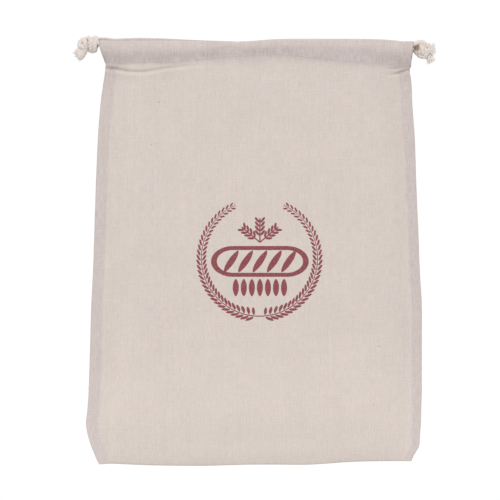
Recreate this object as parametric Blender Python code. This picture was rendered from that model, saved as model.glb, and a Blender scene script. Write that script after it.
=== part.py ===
"""A linen drawstring bread bag, lying flat on its back with its mouth a little open.

The body is one long cloth: folded across at the foot, sewn up both sides with its allowances turned
in, and hemmed at both ends into a channel. A cord runs through each channel, and the two cords are
knotted together at both corners.

Frame: +X to the right and +Y from foot to mouth as the front is looked at, +Z up. The origin is under
the middle of the whole bag, on the surface it lies on. Tables are in millimetres.
"""
import math

import bmesh
import bpy
from mathutils import Matrix, Vector

MM = 0.001

# Cloth and cord.
CLOTH = 1.0
CORD_DIAMETER = 3.4
CORD_CLEARANCE = 0.4

# The channel hem is a roll of cloth round the cord.
TUNNEL_RADIUS = CORD_DIAMETER / 2 + CORD_CLEARANCE
ROLL = 2 * (TUNNEL_RADIUS + CLOTH)

# Depth of each cord's middle below its top fold: place across, front, back. At the corners the cords
# run out one above the other.
CORD_DEPTH = (
    (-142.0, 4.2, 3.4),
    (-116.0, 5.6, 5.4),
    (-90.0, 6.2, 6.2),
    (90.0, 6.2, 6.2),
    (116.0, 5.6, 6.8),
    (142.0, 4.0, 8.0),
)

# The mouth, between the back roll and the front roll.
MOUTH_MIDDLE = 4.8
MOUTH_CORNER = 0.6
MOUTH_FLAT = 85.0
MOUTH_CLOSED = 140.0

# The seam allowances, turned in along both sides, leave the hollow this far from the side edges.
SEAM_ALLOWANCE = 12.0
FOOT_FOLD = 2.4

# Cords and tunnels: the level at which they meet the side edges, how far a cord stands out of its
# channel, points along it, sides of a tunnel.
CORD_LEVEL = 190.0
CORD_REACH = 0.7
CORD_POINTS = 34
TUNNEL_SIDES = 12

# How far the cutters run past the cloth they open.
PAST = 8.0

# Columns of the face: distances in from either side edge, then even steps between them.
COLUMN_INSETS = (0.9, 4.5, 8.5, SEAM_ALLOWANCE, 17.0, 24.0, 34.0, 48.0)
MIDDLE_STEPS = 9

# Rows of the face, by zone: first and last distance up from the foot fold, and steps between them.
LENGTH = 396.0
FOOT_LEVEL = -200.0
ROW_ZONES = (
    # zone, first, last, steps
    ("foot fold", 0.9, FOOT_FOLD, 1),
    ("rise from the foot", FOOT_FOLD, 54.0, 6),
    ("middle", 54.0, 336.0, 11),
    ("under the channel", 336.0, 368.0, 6),
    ("end of the side seams", 368.0, 374.0, 1),
    ("channel", 374.0, LENGTH - 0.9, 6),
)
SEAMS_END = ROW_ZONES[4][1]

# Side edges of the bag: height up the bag, left edge, right edge.
SIDES = (
    (-200.5, -146.0, 144.4),
    (-197.0, -148.6, 146.0),
    (-194.0, -150.1, 147.4),
    (-191.0, -151.1, 149.2),
    (-188.0, -152.5, 151.0),
    (-185.0, -153.8, 152.2),
    (-179.0, -155.8, 152.8),
    (-173.0, -157.6, 153.1),
    (-166.0, -159.0, 153.6),
    (-160.0, -159.4, 153.9),
    (-150.0, -158.2, 154.1),
    (-134.0, -157.1, 154.6),
    (-105.0, -156.0, 154.6),
    (-55.0, -154.6, 154.7),
    (-20.0, -152.9, 152.7),
    (14.0, -151.7, 151.5),
    (60.0, -150.2, 149.5),
    (105.0, -148.2, 148.0),
    (136.0, -145.7, 145.8),
    (152.0, -143.5, 145.2),
    (164.0, -141.6, 143.9),
    (169.0, -141.4, 142.5),
    (174.0, -140.8, 144.2),
    (180.0, -142.7, 144.7),
    (186.0, -145.3, 145.8),
    (191.0, -146.8, 146.6),
    (197.0, -146.6, 146.6),
)

# Top and foot edges: place across, front fold, back fold, foot fold.
ENDS = (
    (-146.0, 196.6, 199.2, -200.0),
    (-140.0, 196.2, 199.0, -199.5),
    (-133.0, 195.9, 198.0, -199.4),
    (-118.0, 196.0, 198.6, -200.1),
    (-105.0, 196.0, 198.8, -200.7),
    (-80.0, 196.0, 197.9, -201.2),
    (-52.0, 195.4, 196.5, -201.4),
    (-24.0, 194.8, 195.5, -200.7),
    (-4.0, 195.6, 194.8, -200.2),
    (18.0, 197.2, 196.0, -200.2),
    (45.0, 197.5, 196.4, -200.4),
    (64.0, 197.5, 196.4, -199.4),
    (86.0, 197.5, 196.4, -197.8),
    (108.0, 197.3, 196.2, -197.1),
    (120.0, 196.9, 196.0, -196.9),
    (131.0, 196.0, 195.2, -196.9),
    (137.0, 195.3, 194.8, -196.9),
    (146.0, 195.6, 194.6, -197.0),
)

# Rise of the front cloth from the side edge inwards: distance in, height.
SIDE_RISE = (
    (0.0, 3.0),
    (1.5, 3.6),
    (6.0, 4.0),
    (12.0, 4.6),
    (18.0, 7.0),
    (28.0, 10.8),
    (45.0, 13.8),
    (70.0, 15.2),
    (160.0, 15.8),
)

# Rise of the front cloth from the foot fold upwards: distance up, height.
FOOT_RISE = (
    (0.0, 2.6),
    (2.0, 3.4),
    (8.0, 5.6),
    (18.0, 9.0),
    (36.0, 13.6),
    (56.0, 15.8),
    (420.0, 16.4),
)

# Depth of the channel hem below the top fold.
CHANNEL_DEPTH = 22.0

# How closely the hem is drawn up to its cord: place across, depths in the channel's section over
# the depths there. The cloth is drawn up in the middle and slack at the right corner.
DRAWN_UP = (
    (-146.0, 0.96),
    (-90.0, 0.98),
    (-62.0, 1.04),
    (-40.0, 1.28),
    (-20.0, 1.44),
    (16.0, 1.42),
    (45.0, 1.18),
    (73.0, 1.0),
    (105.0, 0.9),
    (146.0, 0.86),
)

# Section of the channel: distance below the top fold, share of the front roll, share of the back roll.
CHANNEL = (
    (0.0, 0.78, 1.00),
    (1.5, 0.90, 1.00),
    (4.0, 0.98, 1.00),
    (8.5, 1.00, 1.00),
    (12.0, 0.97, 1.00),
    (16.0, 0.86, 0.80),
    (20.0, 0.50, 0.30),
    (24.0, 0.20, 0.00),
    (28.0, 0.06, 0.00),
    (33.0, 0.00, 0.00),
)

# Main folds of the front cloth: start and end of the fold line, depth, half width.
# A negative depth is a ridge.
FOLDS = (
    # name, x1, y1, x2, y2, depth, half_width
    ("left crease, outer half", -143.0, 169.5, -112.0, 166.0, 0.9, 4.5),
    ("left crease, inner half", -112.0, 166.0, -70.0, 171.5, 0.6, 5.5),
    ("right crease", 132.0, 165.5, 144.0, 169.0, 0.9, 4.0),
    ("soft hollow above the middle", -40.0, 120.0, 60.0, 105.0, 0.4, 26.0),
    ("soft ridge, lower left", -110.0, -60.0, -70.0, 60.0, -0.3, 22.0),
    ("soft hollow, lower right", 60.0, -150.0, 105.0, -40.0, 0.3, 24.0),
)

# Folds fade out towards a side edge, between these distances in from it, and this far below the channel.
FOLD_FADE_FROM = 1.0
FOLD_FADE_TO = 9.0
FOLD_BELOW_CHANNEL = 6.0

# How sharply the two rises meet at a corner of the bag.
BLEND = 8

# Edge of the cloth from its top side round to its under side:
# share of the edge's height, inset of a seam or fold, inset of a roll.
RIM = (
    (0.890, 0.35, 0.0),
    (0.780, 0.10, 0.3),
    (0.700, 0.00, 1.2),
    (0.385, 0.00, 1.2),
    (0.300, 0.00, 0.3),
    (0.200, 0.05, 0.0),
    (0.090, 0.20, 0.3),
    (0.000, 0.60, 1.1),
)
RIM_TOP_INSET = 0.9
BACK_FROM_SHARE = 0.5

# Lobes of the knots: centre, radii and turn in plan.
LEFT_LOBES = (
    # name, x, y, z, along, across, high, turn_deg
    ("upper wrap", -152.8, 195.2, 7.0, 4.8, 5.3, 5.4, 0.0),
    ("lower wrap", -153.8, 188.8, 6.0, 4.0, 3.9, 5.2, -20.0),
    ("outer wrap", -161.4, 193.4, 5.6, 5.8, 5.0, 5.2, 20.0),
)
RIGHT_LOBES = (
    ("upper wrap", 153.7, 191.4, 7.4, 4.9, 4.6, 5.4, -14.0),
    ("lower wrap", 155.0, 184.0, 6.2, 5.8, 4.6, 5.9, -28.0),
    ("inner wrap", 152.4, 187.2, 5.0, 3.2, 4.6, 4.6, 24.0),
)

# Strands of the knots: a route of three points and the radius at each. An entry meets the cord at
# the end of its channel, face to face; an end is the cut end of a cord beyond the knot.
LEFT_STRANDS = (
    # name, x1, y1, z1, r1, x2, y2, z2, r2, x3, y3, z3, r3
    ("front entry", -148.1, 192.4, 9.9, 1.7, -150.6, 192.8, 9.3, 1.8, -153.4, 193.6, 8.0, 2.2),
    ("back entry", -147.8, 195.8, 3.1, 1.7, -150.4, 195.9, 3.3, 1.8, -153.4, 195.6, 4.4, 2.2),
    ("front end", -157.5, 189.5, 5.6, 2.6, -162.6, 185.2, 4.8, 3.7, -165.8, 181.0, 4.2, 3.4),
    ("back end", -160.5, 189.4, 3.8, 2.4, -165.2, 187.4, 3.6, 3.4, -168.0, 184.4, 3.5, 3.3),
)
RIGHT_STRANDS = (
    ("front entry", 148.0, 191.6, 9.9, 1.7, 150.2, 191.8, 9.2, 1.8, 153.0, 191.6, 8.0, 2.2),
    ("back entry", 147.7, 186.6, 3.1, 1.7, 150.3, 186.5, 3.3, 1.8, 153.0, 186.0, 4.4, 2.2),
    ("front end", 157.0, 188.4, 5.6, 2.4, 160.8, 189.2, 4.9, 3.4, 164.0, 189.8, 4.5, 3.4),
    ("back end", 157.5, 184.2, 3.9, 2.6, 160.8, 181.4, 3.8, 3.6, 162.2, 178.0, 3.8, 3.5),
    ("loose strand", 163.0, 184.6, 3.4, 1.6, 167.0, 183.8, 3.0, 1.4, 170.6, 182.4, 2.7, 0.9),
)
LOBE_SEGMENTS = 12
LOBE_RINGS = 8
STRAND_SIDES = 8

# Edges sharper than this are shaded as edges.
SHARP_DEG = 50

# Colour, roughness and metallic value of each material.
LINEN = ("linen", (0.68, 0.61, 0.56), 0.92)
COTTON_CORD = ("cotton_cord", (0.70, 0.63, 0.55), 0.95)


def material(finish):
    """Return a Principled material from a row of name, colour and roughness."""
    name, colour, roughness = finish
    made = bpy.data.materials.new(name)
    made.use_nodes = True
    shader = made.node_tree.nodes["Principled BSDF"]
    shader.inputs["Base Color"].default_value = (*colour, 1.0)
    shader.inputs["Roughness"].default_value = roughness
    shader.inputs["Metallic"].default_value = 0.0
    return made


def smooth_row(table, place, column):
    """Read one column of a table at a place along its first column, on a smooth curve."""
    last = len(table) - 1
    if place <= table[0][0]:
        return table[0][column]
    if place >= table[last][0]:
        return table[last][column]
    low = next(i for i in range(last) if place <= table[i + 1][0])
    before, after = max(low - 1, 0), min(low + 2, last)
    span = table[low + 1][0] - table[low][0]
    share = (place - table[low][0]) / span
    start, end = table[low][column], table[low + 1][column]
    leaving = (end - table[before][column]) / (table[low + 1][0] - table[before][0]) * span
    arriving = (table[after][column] - start) / (table[after][0] - table[low][0]) * span
    rise = end - start
    if rise == 0 or leaving * rise < 0:
        leaving = 0.0
    if rise == 0 or arriving * rise < 0:
        arriving = 0.0
    square, cube = share ** 2, share ** 3
    return (
        start * (2 * cube - 3 * square + 1)
        + leaving * (cube - 2 * square + share)
        + end * (3 * square - 2 * cube)
        + arriving * (cube - square)
    )


def ease(share):
    """Return a soft step from 0 to 1."""
    held = min(max(share, 0.0), 1.0)
    return held * held * (3 - 2 * held)


def left_edge(y):
    """Return the left edge of the cloth at a height up the bag."""
    return smooth_row(SIDES, y, 1)


def right_edge(y):
    """Return the right edge of the cloth at a height up the bag."""
    return smooth_row(SIDES, y, 2)


def front_top(x):
    """Return the height of the front fold at a place across the bag."""
    return smooth_row(ENDS, x, 1)


def back_top(x):
    """Return the height of the back fold at a place across the bag."""
    return smooth_row(ENDS, x, 2)


def foot(x):
    """Return the height of the foot fold at a place across the bag."""
    return smooth_row(ENDS, x, 3)


def mouth(x):
    """Return the gap between the two rolls at a place across the bag."""
    closed = ease((abs(x) - MOUTH_FLAT) / (MOUTH_CLOSED - MOUTH_FLAT))
    return MOUTH_MIDDLE + (MOUTH_CORNER - MOUTH_MIDDLE) * closed


def distance_to_line(x, y, x1, y1, x2, y2):
    """Return how far a point lies from the stretch between two points."""
    along = Vector((x2 - x1, y2 - y1))
    here = Vector((x - x1, y - y1))
    share = min(max(here.dot(along) / along.length_squared, 0.0), 1.0)
    return (here - along * share).length


def folds(x, y):
    """Return how far the main folds press the front cloth down at a point."""
    pressed = 0.0
    for _name, x1, y1, x2, y2, depth, half_width in FOLDS:
        away = distance_to_line(x, y, x1, y1, x2, y2) / half_width
        pressed += depth * math.exp(-away * away)
    return pressed


def face_height(x, y):
    """Return the height of the front cloth's outer side at a point."""
    side = max(min(x - left_edge(y), right_edge(y) - x), 0.0)
    up = max(y - foot(x), 0.0)
    below_top = max(front_top(x) - y, 0.0)
    side_height = smooth_row(SIDE_RISE, side, 1)
    foot_height = smooth_row(FOOT_RISE, up, 1)
    pocket = (side_height ** -BLEND + foot_height ** -BLEND) ** (-1 / BLEND)
    crest = 2 * ROLL + mouth(x)
    section = below_top * smooth_row(DRAWN_UP, x, 1)
    rolled = pocket + (crest - pocket) * smooth_row(CHANNEL, section, 1)
    off_edge = ease((side - FOLD_FADE_FROM) / (FOLD_FADE_TO - FOLD_FADE_FROM))
    off_channel = 1 - smooth_row(CHANNEL, section + FOLD_BELOW_CHANNEL, 1)
    return rolled - folds(x, y) * off_edge * off_channel


def hollow_floor(x, y):
    """Return the height of the back cloth's inner side at a point."""
    below_top = max(front_top(x) - y, 0.0)
    return CLOTH + (ROLL - CLOTH) * smooth_row(CHANNEL, below_top, 2)


def hollow_roof(x, y):
    """Return the height of the front cloth's inner side at a point."""
    below_channel = max(front_top(x) - y - CHANNEL_DEPTH, 0.0)
    return min(face_height(x, y) - CLOTH, ROLL + mouth(x) + below_channel)


def row_heights():
    """Return the rows' distances up from the foot fold."""
    heights = [ROW_ZONES[0][1]]
    for _zone, first, last, steps in ROW_ZONES:
        heights += [first + (last - first) * k / steps for k in range(1, steps + 1)]
    return heights


def column_places(left, right):
    """Return the columns' places across, between two side edges."""
    from_left = [left + inset for inset in COLUMN_INSETS]
    from_right = [right - inset for inset in reversed(COLUMN_INSETS)]
    width = from_right[0] - from_left[-1]
    middle = [from_left[-1] + width * k / MIDDLE_STEPS for k in range(1, MIDDLE_STEPS)]
    return from_left + middle + from_right


def closed_mesh(name, rings, caps):
    """Make a mesh object from rings of points, joined one to the next, with capped ends.

    caps holds, for the first and the last ring, the faces that close it as lists of points already
    placed, or None where the ring is closed by a single face.
    """
    build = bmesh.new()
    placed = {}

    def vertex(point):
        """Return the vertex at a point, made on first use."""
        key = tuple(round(value, 5) for value in point)
        if key not in placed:
            placed[key] = build.verts.new(Vector(point) * MM)
        return placed[key]

    for upper, lower in zip(rings, rings[1:]):
        for i in range(len(upper)):
            j = (i + 1) % len(upper)
            corners = [vertex(p) for p in (upper[i], upper[j], lower[j], lower[i])]
            distinct = list(dict.fromkeys(corners))
            if len(distinct) > 2:
                build.faces.new(distinct)
    for ring, cells in zip((rings[0], rings[-1]), caps):
        for cell in cells or [ring]:
            build.faces.new([vertex(p) for p in cell])
    bmesh.ops.triangulate(build, faces=build.faces[:])
    bmesh.ops.recalc_face_normals(build, faces=build.faces[:])
    mesh = bpy.data.meshes.new(name)
    build.to_mesh(mesh)
    build.free()
    made = bpy.data.objects.new(name, mesh)
    bpy.context.collection.objects.link(made)
    return made


def cells_of(grid):
    """Return the four-sided cells of a grid of points."""
    return [
        (grid[r][c], grid[r][c + 1], grid[r + 1][c + 1], grid[r + 1][c])
        for r in range(len(grid) - 1)
        for c in range(len(grid[0]) - 1)
    ]


def border_of(grid):
    """Return the border of a grid, anticlockwise from its first corner."""
    right = [row[-1] for row in grid[1:-1]]
    left = [row[0] for row in grid[-2:0:-1]]
    return list(grid[0]) + right + list(grid[-1][::-1]) + left


def dress(made, finish, smooth=True):
    """Give an object its material and shading."""
    made.data.materials.clear()
    made.data.materials.append(finish)
    if smooth:
        made.data.shade_smooth()
        made.data.set_sharp_from_angle(angle=math.radians(SHARP_DEG))


def as_guide(made):
    """Keep an object out of the part: it only cuts or joins."""
    made.hide_render = True
    made.display_type = "WIRE"


def boolean(made, other, operation):
    """Cut an object by another, or join the other to it."""
    step = made.modifiers.new(f"{operation.lower()} {other.name}", "BOOLEAN")
    step.operation = operation
    step.solver = "EXACT"
    step.object = other
    as_guide(other)


def face_grid():
    """Return the outer side of the front cloth as rows of points, inside its rounded rim."""
    grid = []
    for height in row_heights():
        level = height + FOOT_LEVEL
        row = []
        for x in column_places(left_edge(level), right_edge(level)):
            low, high = foot(x), front_top(x)
            y = low + (high - low) * height / LENGTH
            row.append((x, y, face_height(x, y)))
        grid.append(row)
    return grid


def rim_ring(border, top_corner, share, seam_inset, roll_inset):
    """Return one ring of the cloth's edge, a share of the way up from the surface it lies on."""
    ring = []
    count = len(border)
    first, last = top_corner
    for i, (x, y, z) in enumerate(border):
        along = Vector(border[(i + 1) % count][:2]) - Vector(border[i - 1][:2])
        outwards = Vector((along.y, -along.x)).normalized()
        on_top = first <= i <= last
        inset = roll_inset if on_top else seam_inset
        moved = Vector((x, y)) + outwards * (RIM_TOP_INSET - inset)
        if on_top and share < BACK_FROM_SHARE:
            moved.y += back_top(x) - front_top(x)
        ring.append((moved.x, moved.y, z * share))
    return ring


def body_envelope(grid):
    """Make the bag's outer form, before its hollow and its channels are opened."""
    border = border_of(grid)
    first = len(grid[0]) + len(grid) - 2
    last = first + len(grid[0]) - 1
    rings = [border] + [rim_ring(border, (first, last), *row) for row in RIM]
    return closed_mesh("bag_body", rings, (cells_of(grid), None))


def hollow_cutter(grid):
    """Make the space between the cloths, on the face's own points, open at the mouth and its corners."""
    heights = row_heights()
    seam = COLUMN_INSETS.index(SEAM_ALLOWANCE)
    inner = [
        (height, row[seam:len(row) - seam])
        for height, row in zip(heights, grid)
        if height >= FOOT_FOLD
    ]
    beyond = [(x, y + PAST, z) for x, y, z in inner[-1][1]]
    floor, roof = [], []
    for height, row in inner + [(LENGTH + PAST, beyond)]:
        places = [(x, y) for x, y, _z in row]
        if height > SEAMS_END:
            places[0] = (places[0][0] - SEAM_ALLOWANCE - PAST, places[0][1])
            places[-1] = (places[-1][0] + SEAM_ALLOWANCE + PAST, places[-1][1])
        floor.append([(x, y, hollow_floor(x, y)) for x, y in places])
        roof.append([(x, y, hollow_roof(x, y)) for x, y in places])
    rings = [border_of(roof), border_of(floor)]
    made = closed_mesh("mouth_and_hollow", rings, (cells_of(roof), cells_of(floor)))
    as_guide(made)
    return made


def cord_route(side, reach):
    """Return points along one channel: side is 'front' or 'back', reach is past its ends."""
    left, right = left_edge(CORD_LEVEL), right_edge(CORD_LEVEL)
    places = [left + (right - left) * i / (CORD_POINTS - 1) for i in range(CORD_POINTS)]
    points = []
    for x in [left - reach] + places + [right + reach]:
        if side == "front":
            y = front_top(x) - smooth_row(CORD_DEPTH, x, 1)
            z = ROLL + mouth(x) + ROLL / 2
        else:
            y = back_top(x) - smooth_row(CORD_DEPTH, x, 2)
            z = ROLL / 2
        points.append((x, y, z))
    return points


def tube(name, points, radii, sides):
    """Make a closed tube along points, with a radius at each."""
    places = [Vector(p) for p in points]
    rings = []
    for i, (place, radius) in enumerate(zip(places, radii)):
        ahead = places[min(i + 1, len(places) - 1)] - places[max(i - 1, 0)]
        facing = ahead.to_track_quat("Z", "Y")
        ring = []
        for k in range(sides):
            angle = 2 * math.pi * k / sides
            offset = facing @ Vector((math.cos(angle), math.sin(angle), 0.0)) * radius
            ring.append(tuple(place + offset))
        rings.append(ring)
    return closed_mesh(name, rings, (None, None))


def drawcord(side):
    """Make the cord that runs through one channel, from knot to knot."""
    curve = bpy.data.curves.new(f"drawcord_{side}", "CURVE")
    curve.dimensions = "3D"
    curve.bevel_depth = CORD_DIAMETER / 2 * MM
    curve.bevel_resolution = 2
    curve.use_fill_caps = True
    route = cord_route(side, CORD_REACH)
    line = curve.splines.new("POLY")
    line.points.add(len(route) - 1)
    for point, place in zip(line.points, route):
        point.co = (*(Vector(place) * MM), 1.0)
    made = bpy.data.objects.new(f"drawcord_{side}", curve)
    bpy.context.collection.objects.link(made)
    return made


def lobe(name, x, y, z, along, across, high, turn_deg):
    """Make one lobe of a knot."""
    build = bmesh.new()
    bmesh.ops.create_uvsphere(build, u_segments=LOBE_SEGMENTS, v_segments=LOBE_RINGS, radius=MM)
    place = Matrix.Translation(Vector((x, y, z)) * MM)
    turn = Matrix.Rotation(math.radians(turn_deg), 4, "Z")
    size = Matrix.Diagonal((along, across, high, 1.0))
    bmesh.ops.transform(build, matrix=place @ turn @ size, verts=build.verts[:])
    bmesh.ops.triangulate(build, faces=build.faces[:])
    mesh = bpy.data.meshes.new(name)
    build.to_mesh(mesh)
    build.free()
    made = bpy.data.objects.new(name, mesh)
    bpy.context.collection.objects.link(made)
    return made


def knot(name, lobes, strands):
    """Make one knot with the entries and the cut ends of its two cords."""
    first, *others = [lobe(f"{name} {row[0]}", *row[1:]) for row in lobes]
    for label, *numbers in strands:
        points = [tuple(numbers[i:i + 3]) for i in (0, 4, 8)]
        radii = [numbers[i] for i in (3, 7, 11)]
        others.append(tube(f"{name} {label}", points, radii, STRAND_SIDES))
    first.name = name
    for other in others:
        boolean(first, other, "UNION")
    return first


def main():
    """Make the whole bag."""
    for old in list(bpy.data.objects):
        bpy.data.objects.remove(old, do_unlink=True)
    linen, cotton = material(LINEN), material(COTTON_CORD)

    grid = face_grid()
    body = body_envelope(grid)
    dress(body, linen)
    boolean(body, hollow_cutter(grid), "DIFFERENCE")
    for side in ("front", "back"):
        route = cord_route(side, PAST)
        tunnel = tube(f"tunnel {side}", route, [TUNNEL_RADIUS] * len(route), TUNNEL_SIDES)
        boolean(body, tunnel, "DIFFERENCE")

    for side in ("front", "back"):
        dress(drawcord(side), cotton, smooth=False)
    dress(knot("knot_left", LEFT_LOBES, LEFT_STRANDS), cotton)
    dress(knot("knot_right", RIGHT_LOBES, RIGHT_STRANDS), cotton)


main()
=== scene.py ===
"""Looks of a linen drawstring bread bag, lying flat on its back with its mouth a little open.

One long cloth is folded across at the foot, sewn up both sides with its allowances turned in, and
hemmed at both ends into a channel. A twisted cotton cord runs through each channel, and the two are
knotted together at both corners. A burgundy wreath is printed on the front.

Tables and sizes are in millimetres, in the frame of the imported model: +X to the right and +Y from
foot to mouth as the front is looked at, +Z up.
"""

import logging
import math
import random
from dataclasses import dataclass
from enum import Enum

import bpy
from mathutils import Matrix, Vector, noise


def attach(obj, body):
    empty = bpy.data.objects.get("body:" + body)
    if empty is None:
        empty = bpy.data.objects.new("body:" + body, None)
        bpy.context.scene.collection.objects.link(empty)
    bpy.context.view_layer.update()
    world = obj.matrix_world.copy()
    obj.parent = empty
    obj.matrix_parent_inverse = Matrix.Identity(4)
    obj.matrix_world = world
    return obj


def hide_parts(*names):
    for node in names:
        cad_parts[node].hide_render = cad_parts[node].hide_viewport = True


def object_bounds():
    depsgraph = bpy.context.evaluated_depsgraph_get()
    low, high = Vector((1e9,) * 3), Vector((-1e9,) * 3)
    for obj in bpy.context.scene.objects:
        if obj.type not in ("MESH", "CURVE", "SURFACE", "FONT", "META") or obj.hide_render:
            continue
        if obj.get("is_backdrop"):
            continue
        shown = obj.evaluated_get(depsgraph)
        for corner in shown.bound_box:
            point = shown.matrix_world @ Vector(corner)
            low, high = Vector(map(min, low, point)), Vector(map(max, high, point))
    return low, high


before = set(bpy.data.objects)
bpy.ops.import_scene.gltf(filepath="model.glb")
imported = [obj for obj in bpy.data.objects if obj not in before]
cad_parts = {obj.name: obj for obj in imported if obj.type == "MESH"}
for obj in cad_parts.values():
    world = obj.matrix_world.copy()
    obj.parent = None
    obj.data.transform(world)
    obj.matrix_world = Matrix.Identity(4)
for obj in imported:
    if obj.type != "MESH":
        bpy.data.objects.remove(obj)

MM = 0.001
BODY = "root"
LOG = logging.getLogger("bread_bag")


# --- Form of the bag, as the solids have it ---


def ease(share: float) -> float:
    """Return a soft step from 0 to 1."""
    held = min(max(share, 0.0), 1.0)
    return held * held * (3 - 2 * held)


def blend(start: float, end: float, share: float) -> float:
    """Return the value a share of the way from start to end."""
    return start + (end - start) * share


def waver(x: float, y: float, width: float, height: float, seed: float) -> float:
    """Return a smooth noise from -1 to 1, of a width and a height, read at a point."""
    return noise.noise(Vector((x / width, y / height, seed)))


@dataclass(frozen=True)
class Rows:
    """A short table, read on a smooth curve along its first column."""

    rows: tuple[tuple[float, ...], ...]

    def read(self, place: float, column: int = 1) -> float:
        """Return one column's value at a place.

        Args:
            place: Where to read, in the first column's terms.
            column: The column to read.

        Returns:
            The value on a smooth curve through the rows, level past the first and the last.
        """
        table, last = self.rows, len(self.rows) - 1
        if place <= table[0][0]:
            return table[0][column]
        if place >= table[last][0]:
            return table[last][column]
        low = next(i for i in range(last) if place <= table[i + 1][0])
        before, after = max(low - 1, 0), min(low + 2, last)
        span = table[low + 1][0] - table[low][0]
        share = (place - table[low][0]) / span
        start, end = table[low][column], table[low + 1][column]
        leaving = (end - table[before][column]) / (table[low + 1][0] - table[before][0]) * span
        arriving = (table[after][column] - start) / (table[after][0] - table[low][0]) * span
        rise = end - start
        if rise == 0 or leaving * rise < 0:
            leaving = 0.0
        if rise == 0 or arriving * rise < 0:
            arriving = 0.0
        square, cube = share**2, share**3
        return (
            start * (2 * cube - 3 * square + 1)
            + leaving * (cube - 2 * square + share)
            + end * (3 * square - 2 * cube)
            + arriving * (cube - square)
        )


# Side edges: height up the bag, left edge, right edge.
SIDES = Rows((
    (-200.5, -146.0, 144.4), (-197.0, -148.6, 146.0), (-194.0, -150.1, 147.4), (-191.0, -151.1, 149.2),
    (-188.0, -152.5, 151.0), (-185.0, -153.8, 152.2), (-179.0, -155.8, 152.8), (-173.0, -157.6, 153.1),
    (-166.0, -159.0, 153.6), (-160.0, -159.4, 153.9), (-150.0, -158.2, 154.1), (-134.0, -157.1, 154.6),
    (-105.0, -156.0, 154.6), (-55.0, -154.6, 154.7), (-20.0, -152.9, 152.7), (14.0, -151.7, 151.5),
    (60.0, -150.2, 149.5), (105.0, -148.2, 148.0), (136.0, -145.7, 145.8), (152.0, -143.5, 145.2),
    (164.0, -141.6, 143.9), (169.0, -141.4, 142.5), (174.0, -140.8, 144.2), (180.0, -142.7, 144.7),
    (186.0, -145.3, 145.8), (191.0, -146.8, 146.6), (197.0, -146.6, 146.6),
))

# Top and foot edges: place across, front fold, back fold, foot fold.
ENDS = Rows((
    (-146.0, 196.6, 199.2, -200.0), (-140.0, 196.2, 199.0, -199.5), (-133.0, 195.9, 198.0, -199.4),
    (-118.0, 196.0, 198.6, -200.1), (-105.0, 196.0, 198.8, -200.7), (-80.0, 196.0, 197.9, -201.2),
    (-52.0, 195.4, 196.5, -201.4), (-24.0, 194.8, 195.5, -200.7), (-4.0, 195.6, 194.8, -200.2),
    (18.0, 197.2, 196.0, -200.2), (45.0, 197.5, 196.4, -200.4), (64.0, 197.5, 196.4, -199.4),
    (86.0, 197.5, 196.4, -197.8), (108.0, 197.3, 196.2, -197.1), (120.0, 196.9, 196.0, -196.9),
    (131.0, 196.0, 195.2, -196.9), (137.0, 195.3, 194.8, -196.9), (146.0, 195.6, 194.6, -197.0),
))

# Rise of the front from a side edge inwards, and from the foot fold upwards: distance, height.
SIDE_RISE = Rows((
    (0.0, 3.0), (1.5, 3.6), (6.0, 4.0), (12.0, 4.6), (18.0, 7.0), (28.0, 10.8), (45.0, 13.8),
    (70.0, 15.2), (160.0, 15.8),
))
FOOT_RISE = Rows((
    (0.0, 3.6), (2.0, 4.6), (8.0, 6.6), (18.0, 8.8), (36.0, 12.0), (56.0, 14.2), (90.0, 15.6),
    (420.0, 16.4),
))

# Section of the channel: distance below the top fold, fullness of the front's gathers, back roll.
CHANNEL = Rows((
    (0.0, 0.78, 1.00), (1.5, 0.90, 1.00), (4.0, 0.98, 1.00), (8.5, 1.00, 1.00), (12.0, 0.97, 1.00),
    (16.0, 0.86, 0.80), (20.0, 0.50, 0.30), (24.0, 0.20, 0.00), (28.0, 0.06, 0.00), (33.0, 0.00, 0.00),
))

# Section of the front roll in the cloth: distance below the top fold, share of the roll's rise.
ROLL_FALL = Rows((
    (0.0, 0.74), (1.5, 0.88), (4.0, 0.98), (6.0, 1.00), (9.0, 0.97), (12.0, 0.88), (16.0, 0.71),
    (20.0, 0.52), (24.0, 0.35), (28.0, 0.22), (33.0, 0.11), (40.0, 0.03), (48.0, 0.00),
))

# How closely the hem is drawn up to its cord: place across, depths in the section over those there.
DRAWN_UP = Rows((
    (-146.0, 0.96), (-90.0, 0.98), (-62.0, 1.04), (-40.0, 1.28), (-20.0, 1.44), (16.0, 1.42),
    (45.0, 1.18), (73.0, 1.0), (105.0, 0.9), (146.0, 0.86),
))

# Depth of each cord's middle below its top fold: place across, front, back.
CORD_DEPTH = Rows((
    (-142.0, 4.2, 3.4), (-116.0, 5.6, 5.4), (-90.0, 6.2, 6.2), (90.0, 6.2, 6.2), (116.0, 5.6, 6.8),
    (142.0, 4.0, 8.0),
))

# Width of the turned-in seam allowance: height up the bag, left, right.
ALLOWANCE = Rows((
    (-200.0, 11.5, 8.0), (-60.0, 11.0, 9.5), (60.0, 11.0, 10.0), (165.0, 11.4, 10.8),
))

# How softly the hem's edge shows through the front: place across, distance.
HEM_FADE = Rows((
    (-146.0, 3.8), (-70.0, 4.2), (-45.0, 6.5), (-25.0, 12.0), (0.0, 15.0), (25.0, 13.0), (45.0, 9.0),
    (75.0, 7.5), (105.0, 7.5), (146.0, 8.0),
))


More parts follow.
